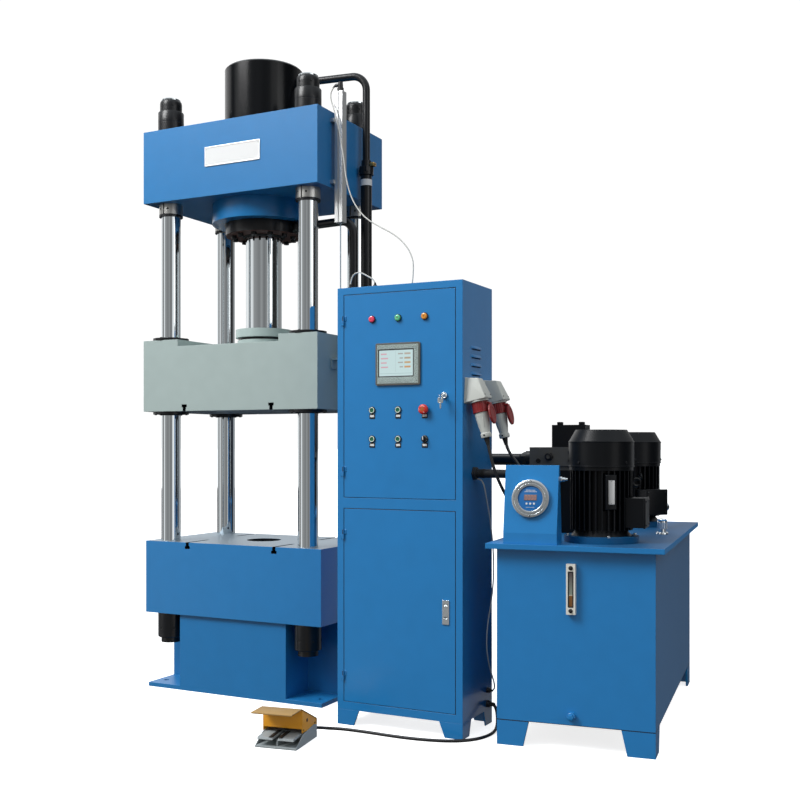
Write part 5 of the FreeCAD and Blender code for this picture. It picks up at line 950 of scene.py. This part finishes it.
def louvre_hoods():
    """Pressed hoods over the slots in the cabinet's side."""
    part = Part("louvre_hoods", cabinet_blue)
    for i in range(4):
        z = 1486 + 36 * i
        part.hull([(1282.5, -386, z + 17), (1282.5, -284, z + 17), (1282.5, -388, z + 3), (1282.5, -282, z + 3),
            (1290.5, -380, z + 3.5), (1290.5, -290, z + 3.5), (1289.5, -378, z + 9), (1289.5, -292, z + 9)],
            cabinet_blue, 1.2)
    part.done("frame", "cabinet_paint")


def cabinet_glands():
    """Black glands with tapered sleeves where the cables leave the cabinet's side and roof."""
    part = Part("cabinet_cable_glands", black_plastic, rubber)
    for start, towards, r, wire, long in (
        (MOTOR_TRUNK[0], MOTOR_TRUNK[1], 25, 18, 34), (FLOOR_CABLE[-1], FLOOR_CABLE[-2], 10, 3, 14),
        (PEDAL_CABLE[-1], PEDAL_CABLE[-2], 13.5, 6.5, 22), (SENSOR_CABLE[-1], SENSOR_CABLE[-2], 10, 3, 16),
        (ROOF_LOOP[0], ROOF_LOOP[1], 10, 3, 14), (ROOF_LOOP[-1], ROOF_LOOP[-2], 10, 3, 14),
    ):
        at = aim(start, towards)
        gland_nut(part, black_plastic, at @ moved(0, 0, -14), r * 1.02, 14)
        strain_relief(part, rubber, at, r * 0.7, wire, long)
    part.done("frame", "black_plastic")


SOCKETS = {"front": -420, "rear": -215}
SOCKET_LEAN = 12.5
LID_LONGER = 1.36   # the photographed lids against the CAD's discs


def socket_frame(y):
    """A frame at a wall socket's mouth, with its plug pointing down and out along -Z."""
    lean = math.radians(SOCKET_LEAN)
    return moved(1283 + 50 * math.cos(lean), y, 1368 + 50 * math.sin(lean)) @ turn(-SOCKET_LEAN, "Y")


def wall_sockets():
    part = Part("angled_wall_sockets", socket_grey, socket_red, black_steel)
    for y in SOCKETS.values():
        part.hull([(x, y + side * half, z) for side in (-1, 1) for x, half, z in ((1283, 44, 1367.5),
            (1283, 35, 1474.5), (1287, 44, 1368.5), (1287, 35, 1474))], socket_grey, 1.5)
        part.hull([(x, y + side * half, z) for side in (-1, 1) for x, half, z in ((1284, 42, 1369), (1375, 40, 1389),
            (1374, 39, 1396), (1337, 27, 1471), (1284, 31, 1473.5))], socket_grey, 5)
        at = socket_frame(y)
        part.turned([(36, 2), (39, 0.5), (39, -5), (38, -6), (33, -6)], socket_grey, at, 40)
        part.prism(ribbed(33.5, 1.6, 22), -46, -6, socket_red, 0, at)
        part.turned([(30, -49.5), (32.2, -50), (33.4, -49), (33.4, -45.5), (32, -45)], socket_red, at, 40)
        part.turned([(0, -44), (31, -44), (31, -50), (0, -50)], socket_red, at, 32)
        for side in (-1, 1):
            part.block((33.5, side * 14 - 3, -22), (38.5, side * 14 + 3, -10), socket_red, 1, at)
        for side in (-1, 1):
            cap_screw(part, black_steel, moved(1368.5, y + side * 29, 1404) @ turn(64, "Y"), 6, 2.5)
    part.done("frame", "grey_plastic", "wall_sockets")


def socket_lids():
    """Round spring lids, swung open against their sockets."""
    for side, y in SOCKETS.items():
        part = Part("spring_lid_" + side, socket_red, rubber)
        at = socket_frame(y)
        part.turned([(3.8, -10.5), (3.8, 10.5)], socket_red, at @ moved(37.8, 0, -16) @ FRONT, 20)
        for end in (-10.5, 9.5):
            part.turned([(0, end), (3.8, end), (3.8, end + 1), (0, end + 1)], socket_red,
                at @ moved(37.8, 0, -16) @ FRONT, 20)
        part.hull([(x, s * 8.5, z) for s in (-1, 1) for x, z in ((37.2, -13.5), (40.5, -12.5), (49.2, -19.5),
            (48.5, -40), (41, -40), (36.5, -19.5))], socket_red, 1.2, at)
        disc = at @ moved(40.8, 0, -64) @ RIGHT @ Matrix.Diagonal((LID_LONGER, 1, 1, 1))
        part.prism(ribbed(31, 0.9, 36), 1.2, 7.2, socket_red, 0, disc)
        part.turned([(0, 7.4), (20, 7.4), (21.5, 8.8), (28.5, 8.8), (30.3, 7.8), (30.5, 7)], socket_red, disc, 40)
        part.turned([(30.3, 1.5), (29.5, 0), (26, 0), (26, 2), (0, 2)], socket_red, disc, 40)
        part.turned([(25, 1.8), (25, 0.6), (21.5, 0.6), (21.5, 1.8)], rubber, disc, 36)
        part.done("socket_lid_" + side, "red_plastic", "socket_lid_" + side)


def plugs():
    """Tapered plugs with a ribbed grip, a clamp end and the cable's sleeve."""
    part = Part("cable_plugs", socket_grey, socket_red, black_steel, rubber)
    for y, route in zip(SOCKETS.values(), (FRONT_PLUG_CABLE, REAR_PLUG_CABLE)):
        at = socket_frame(y)
        part.turned([(0, -50), (29, -50), (29, -62), (28, -66), (26.2, -82), (24, -100), (21.5, -118), (19.5, -130),
            (19.3, -134), (22.4, -137.5), (22.6, -150), (20.5, -154), (0, -154)], socket_grey, at, 40)
        for i in range(8):
            rib = at @ turn(45 * i + 22.5, "Z")
            part.hull([(27.5, -2.2, -68), (27.5, 2.2, -68), (28.4, -1.6, -70), (28.4, 1.6, -70), (21.5, -2.2, -112),
                (21.5, 2.2, -112), (23.2, -1.6, -110), (23.2, 1.6, -110)], socket_grey, 0.5, rib)
        for side in (-1, 1):
            cap_screw(part, black_steel, at @ moved(0, side * 21.5, -144) @ turn(-90 * side, "X"), 7, 3)
        strain_relief(part, rubber, aim(route[0], route[1]), 12.5, 6.5, 30)
    part.done("frame", "grey_plastic", "plugs")


# ---------------------------------------------------------------- small parts of the power unit

def gauge_face():
    """A digital pressure gauge's face: blue, with a lit row of noughts, white marks and three keys."""
    part = Part("gauge_face", gauge_blue, label_white, digit_red, satin_chrome, screen_dim, black_steel)
    rim = UNIT @ moved(178, 36.7, 985) @ turn(90 - 9.115, "X")
    part.turned([(49, 10), (50.5, 14.6), (52, 15.2), (60, 14.6), (61.5, 13.2), (64, 13.2), (65.5, 14.8), (73.5, 14.6),
        (75.2, 13.8)], satin_chrome, rim, 56)
    cap_screw(part, black_steel, rim @ moved(0, 69, 14.4), 6, 1.6)
    cap_screw(part, black_steel, rim @ moved(0, -69, 14.4), 6, 1.6)
    at = rim @ moved(0, 0, 3)
    part.turned([(50, 6), (49, 6.6), (45, 7.2), (0, 7.2)], gauge_blue, at, 56)
    part.prism(round_box(26, 12, 2, 0, 4), 7, 8.2, screen_dim, 0.3, at)
    for x in (-18, -6, 6, 18):
        part.framed(round_box(4.2, 8.2, 1, x, 4), round_box(2.7, 6.7, 1, x, 4), 8, 8.5, digit_red, 0, at)
    for row, y in enumerate((27, 33)):
        for i in range(-4 + row, 5 - row):
            part.block((i * 5.5 - 1.8, y - 1.4, 7.2), (i * 5.5 + 1.8, y + 1.4, 7.8), label_white, 0, at)
    for x in (-15, 0, 15):
        part.turned([(4.2, 7.2), (4.2, 8.4), (3.6, 8.8), (0, 8.6)], label_white, at @ moved(x, -20.5, 0), 24)
    for i in range(-3, 4):
        part.block((i * 5 - 1.3, -36.5, 7.2), (i * 5 + 1.3, -34.3, 7.7), label_white, 0, at)
    part.done("frame", "bright_chrome")


def level_fittings():
    """The level gauge's glass in its dark seal, with its two hollow screws."""
    part = Part("oil_level_window", level_glass, black_plastic, rubber)
    at = UNIT @ moved(340, 16, 0) @ FRONT
    part.framed(round_box(11, 70.5, 3, 0, 635.5), round_box(7, 66, 2, 0, 635.5), -7.8, 0.8, rubber, 0.3, at)
    part.prism(round_box(7.6, 66.6, 2, 0, 635.5), -7.8, -0.6, level_glass, 0.6, at)
    for y in (552, 719):
        part.turned([(8.5, 0), (8.5, 1.6), (7.5, 2.2), (0, 2.2)], black_plastic, at @ moved(0, y, 0), 28)
        part.prism(circle(6.2, 6), 2.2, 6.2, black_plastic, 0.6, at @ moved(0, y, 0))
    part.done("frame", "sensor_aluminium")


def drain_plug():
    part = Part("drain_plug", tank_blue)
    at = UNIT @ moved(340, 18, 138) @ FRONT
    part.turned([(16.8, -18), (16.8, -1), (15, 0.5), (0, 0.5)], tank_blue, at, 32)
    part.prism(circle(12.5, 6), 0.5, 10, tank_blue, 1, at)
    part.done("frame", "blue_paint")


def lid_fittings():
    """The chrome filler cap and the two plug leads' glands."""
    part = Part("tank_lid_fittings", bright_chrome, rubber)
    cap = UNIT @ moved(613, 684, 0)
    part.turned([(26.5, 806), (26.5, 813), (25.5, 814.5), (15.5, 814.5), (15.5, 829.5)], bright_chrome, cap, 40)
    part.prism(ribbed(21.6, 0.8, 30), 830, 858.5, bright_chrome, 0, cap)
    part.turned([(15, 829.8), (21.6, 829.8)], bright_chrome, cap, 40)
    part.turned([(21.4, 858.3), (21.6, 862), (20.6, 868), (17.6, 873.5), (10, 875), (0, 875.2)], bright_chrome, cap,
        40)
    for i in range(3):
        cap_screw(part, bright_chrome, cap @ turn(120 * i + 40, "Z") @ moved(21.2, 0, 814.5), 5.2, 2.8)
    for x, route in ((110, FRONT_PLUG_CABLE), (190, REAR_PLUG_CABLE)):
        gland_nut(part, bright_chrome, UNIT @ moved(x, 200, LID_TOP), 12.4, 16)
        strain_relief(part, rubber, aim(route[-1], route[-2]), 10.5, 6.5, 24)
    part.done("frame", "bright_chrome")


def console_fitting():
    """The gauge line's fitting between the console and the front motor."""
    part = Part("gauge_line_fitting", bright_chrome)
    at = UNIT @ moved(286, 80, 1062) @ RIGHT
    part.prism(circle(10.5, 6), 0, 8, bright_chrome, 0.6, at)
    part.turned([(7.5, 8), (7.5, 20), (6.8, 21), (5.2, 21), (5.2, 30), (0, 30)], bright_chrome, at, 24)
    part.done("frame", "bright_chrome")


MOTORS = (248, 0, 20), (1172, -45, -23)   # each motor's y on the lid, its own turn and its eye bolt's


def motor_fittings():
    """Rating plates left blank, eye bolts, terminal box lids and glands, cowl screws and base bolts."""
    part = Part("motor_fittings", motor_black, sensor_alloy, bright_chrome, black_plastic, black_steel)
    for y, own, eye_at in MOTORS:
        motor = UNIT @ moved(420, y, 0) @ turn(own, "Z")
        for i in range(4):
            hex_head(part, bright_chrome, motor @ turn(90 * i + 22, "Z") @ moved(138, 0, 832), 11, 7.5)
        pad = motor @ turn(-62, "Z")
        part.hull([(x, side * half, z) for side in (-1, 1) for x, half, z in ((104, 30, 935), (104, 30, 1086),
            (127.5, 20, 942), (127.5, 20, 1079))], motor_black, 2, pad)
        part.prism(round_box(47.5, 12.5, 2), 0, 0.7, sensor_alloy, 0.2, pad @ moved(127.5, 0, 1010.5) @ RIGHT)
        for z in (-44, 44):
            part.turned(dome(1.6, 0.6, 1.4), black_steel, pad @ moved(127.5, 0, 1010.5 + z) @ RIGHT, 10)
        part.turned([(131.1, 1110.5), (132.5, 1110.5), (132.5, 1115), (131.1, 1115.5)], motor_black, motor, 64)
        part.turned([(130.9, 1208), (132.2, 1209.5), (132.2, 1212.5), (130.5, 1214.5)], motor_black, motor, 64)
        for i in range(4):
            cap_screw(part, black_steel, motor @ turn(90 * i - 33, "Z") @ moved(130.5, 0, 1128) @ RIGHT, 10, 4.5)
        part.block((176, -62, 866), (183.5, 62, 988), motor_black, 2, motor)
        part.block((183, -56, 872), (185, 56, 982), motor_black, 1, motor)
        for side in (-1, 1):
            for z in (880, 974):
                cap_screw(part, black_steel, motor @ moved(184.5, side * 50, z) @ RIGHT, 8, 3.5)
        gland = motor @ moved(150, 60, 902) @ turn(-90, "X")
        gland_nut(part, bright_chrome, gland, 17.5, 24)
        eye = motor @ turn(eye_at, "Z") @ moved(116, 0, 1046)
        part.turned([(8.5, -10), (8.5, 8), (6, 12), (0, 12)], motor_black, eye @ RIGHT, 20)
        part.turned(wire_ring(15, 4.2, 0, 10), motor_black, eye @ moved(27, 0, 0) @ FRONT, 28)
    part.done("frame", "motor_paint")


def valve_fittings():
    """Screws, a gauge port with its ring, side plugs and the solenoid's nut on the valve stack."""
    part = Part("valve_fittings", black_steel)
    for x in (166, 264):
        knob = UNIT @ moved(x, 660, 0)
        part.prism(round_box(12.5, 12.5, 3), 1289, 1301, black_steel, 1, knob)
    port = UNIT @ moved(130, 595, 1146) @ FRONT
    part.prism(circle(19.5, 6), 0.5, 12, black_steel, 1, port)
    part.turned([(15.2, 12), (15.6, 26.2), (13.5, 27.5), (8.5, 27.5), (8.5, 16), (0, 16)], black_steel, port, 32)
    for x, z in ((80, 1128), (225, 1128), (225, 1166)):
        plug = UNIT @ moved(x, 595, z) @ FRONT
        part.turned([(10.5, 0), (10.5, 3), (9.5, 4), (5.5, 4), (5.5, 1.5), (0, 1.5)], black_steel, plug, 24)
    coil = UNIT @ moved(350, 660, 1238) @ RIGHT
    part.prism(circle(16.5, 6), 0, 9, black_steel, 1, coil)
    part.turned([(9, 9), (9, 15), (7.5, 17), (0, 17)], black_steel, coil, 24)
    for y, r in ((628, 28), (698, 35)):
        at = UNIT @ moved(-10, y, 1132) @ RIGHT
        part.prism(circle(r * 1.13, 6), 8, 30, black_steel, 1.5, at)
    part.done("frame", "motor_paint")


# ---------------------------------------------------------------- small parts of the foot switch

def pedal_fittings():
    """The cable's sleeve, side screws and the guard's lock hole on the foot switch; the lock hole is a black disc of
    painted shade.
    """
    part = Part("foot_switch_fittings", black_plastic, rubber, black_steel)
    strain_relief(part, rubber, aim(PEDAL_CABLE[0], PEDAL_CABLE[1]), 11.5, 6.5, 30)
    for side, x in ((-1, 3.3), (1, 174.7)):
        # The widest disc on each cheek is the lock hole, a black disc of painted shade; the smaller ones are screw
        # heads.
        for y, z, r in ((118, 92, 7.5), (82, 60, 3.6), (200, 62, 3.6)):
            part.turned([(r, 0), (r, 1), (r * 0.8, 1.8), (0, 1.8)], black_plastic if r > 5 else black_steel,
                PEDAL @ moved(x, y, z) @ turn(90 * side, "Y"), 24)
    part.done("frame", "black_plastic")


def treadle_grips():
    """Rubber strips along the treadles' inner edges."""
    for name, low, high in (("left", 61, 76.6), ("right", 101.4, 117)):
        part = Part("treadle_grip_" + name, rubber)
        part.prism([(0, 44), (86, 49), (86, 51), (0, 46)], low, high, rubber, 0.4, PEDAL @ ACROSS)
        part.done("treadle_" + name, "pedal_grey")


def pedal_hood():
    """Folded guard of the foot switch: a flat brow, a sloping back, two cheeks and a front plate; the brow and back
    are a paler tan, a painted sheen of the light on their top.
    """
    part = Part("foot_switch_guard", pedal_orange, pedal_roof_sheen)
    at = PEDAL @ ACROSS
    part.prism([(-41, 149), (62, 149), (220, 76.5), (220, 40), (217, 40), (217, 74.5), (61.2, 146), (-38, 146),
        (-38, 143), (-41, 143)], 3, 177, pedal_roof_sheen, 0.6, at)
    for low, high in ((3.3, 6.3), (171.7, 174.7)):
        part.prism([(70, 50), (217, 50), (217, 74.3), (70, 142)], low, high, pedal_orange, 0.4, at)
    part.block((6.3, 70, 66), (171.7, 73, 141), pedal_orange, 0.5, PEDAL)
    part.done("frame", "yellow_paint", "pedal_hood")


for make in (name_plate, column_nuts, column_collars, gland_fittings, pipe_fittings, slide_fittings, sensor_fittings,
        operator_screen, pilot_lamps, panel_fittings, push_buttons, stop_button, selector, lock_key, louvre_hoods,
        cabinet_glands, wall_sockets, socket_lids, plugs, gauge_face, level_fittings, drain_plug, lid_fittings,
        console_fitting, motor_fittings, valve_fittings, pedal_hood, pedal_fittings, treadle_grips):
    make()


# ---------------------------------------------------------------- studio and camera

FLOOR_REACH = 240.0   # far enough for its edge to meet the horizon


def make_studio():
    """A pale floor and large soft lights: one high at the front left, a faint one at the right."""
    floor = bpy.data.meshes.new("studio_floor")
    floor.from_pydata([(x * FLOOR_REACH, y * FLOOR_REACH, 0) for x, y in ((-1, -1), (1, -1), (1, 1), (-1, 1))], [],
        [(0, 1, 2, 3)])
    f = Finish("studio_floor_pale")
    floor.materials.append(f.done(Base_Color=f.mix(f.noise(2.0), (0.84, 0.84, 0.84), (0.88, 0.88, 0.88)),
        Roughness=0.7, Emission_Color=(1, 1, 1), Emission_Strength=0.8))
    ground = new_object("studio_floor", floor)
    ground.visible_diffuse = ground.visible_glossy = False
    for name, at, target, wide, tall, power in (
        ("key_light", (-2.5, -4.5, 6.5), (0.6, -0.3, 1.2), 3.2, 3.2, 520),
        ("right_light", (7.0, -1.0, 4.0), (1.4, 0, 1.0), 2.0, 3.0, 34),
    ):
        lamp = bpy.data.lights.new(name, "AREA")
        lamp.shape, lamp.size, lamp.size_y, lamp.energy = "RECTANGLE", wide, tall, power
        lit = new_object(name, lamp)
        lit.location = at
        lit.rotation_euler = (Vector(target) - Vector(at)).to_track_quat("-Z", "Y").to_euler()


def make_surround():
    """A white world behind the machine; before it, upright light and dark bands for the chrome to show."""
    f = Finish("pale_surround", "worlds")
    way = f.add("ShaderNodeTexCoord", {}, out=0)
    x, y, z = (f.along(way, axis) for axis in "xyz")
    angle = f.maths("ARCTAN2", y, x) / (2 * math.pi) + 0.5
    bands = f.add("ShaderNodeValToRGB", {"stops": [(at, (tone,) * 3) for at, tone in ((0.02, 1.0), (0.034, 0.04),
        (0.078, 0.04), (0.092, 1.0), (0.135, 0.8), (0.155, 0.36), (0.26, 0.24), (0.3, 0.36), (0.345, 0.2),
        (0.395, 0.3), (0.405, 1.0), (0.46, 1.0), (0.475, 0.03), (0.6, 0.04), (0.63, 0.22), (0.71, 0.34), (0.762, 0.34),
        (0.765, 1.0))]}, angle)
    low = (angle > 0.47) * (z < 0.03 - (angle > 0.764) * 0.07)
    ground = f.mix((angle > 0.655) * (angle < 0.725), (0.035, 0.04, 0.05), (0.42, 0.44, 0.46))
    bands = f.mix(low, bands, ground)
    high = f.maths("SMOOTH_MIN", f.maths("MAXIMUM", z - 0.33, 0.0) * 2.2, 1.0, 0.3)
    light = f.mix(high, bands, (0.9, 0.95, 1.0))
    light = f.mix(z > -0.35, (0.04, 0.04, 0.04), light)
    f.add("ShaderNodeOutputWorld", {}, f.add("ShaderNodeBackground", {}, light, 1.05))
    bpy.context.scene.world = f.owner


def make_camera():
    """The photograph's camera: level, 1.2 m up, with the frame shifted upwards."""
    place, lens_mm, horizon_shift, yaw = (2.995, -4.454, 1.2), 47.95, 0.0557, 26.65
    data = bpy.data.cameras.new("photo_camera")
    data.lens, data.sensor_width, data.shift_y = lens_mm, 36, horizon_shift
    data.clip_start, data.clip_end = 0.1, 500
    camera = new_object("photo_camera", data)
    camera.location = place
    camera.rotation_euler = (math.radians(90), 0, math.radians(yaw))
    bpy.context.scene.camera = camera


make_studio()
make_surround()
make_camera()
bpy.context.scene.view_settings.view_transform = "Standard"
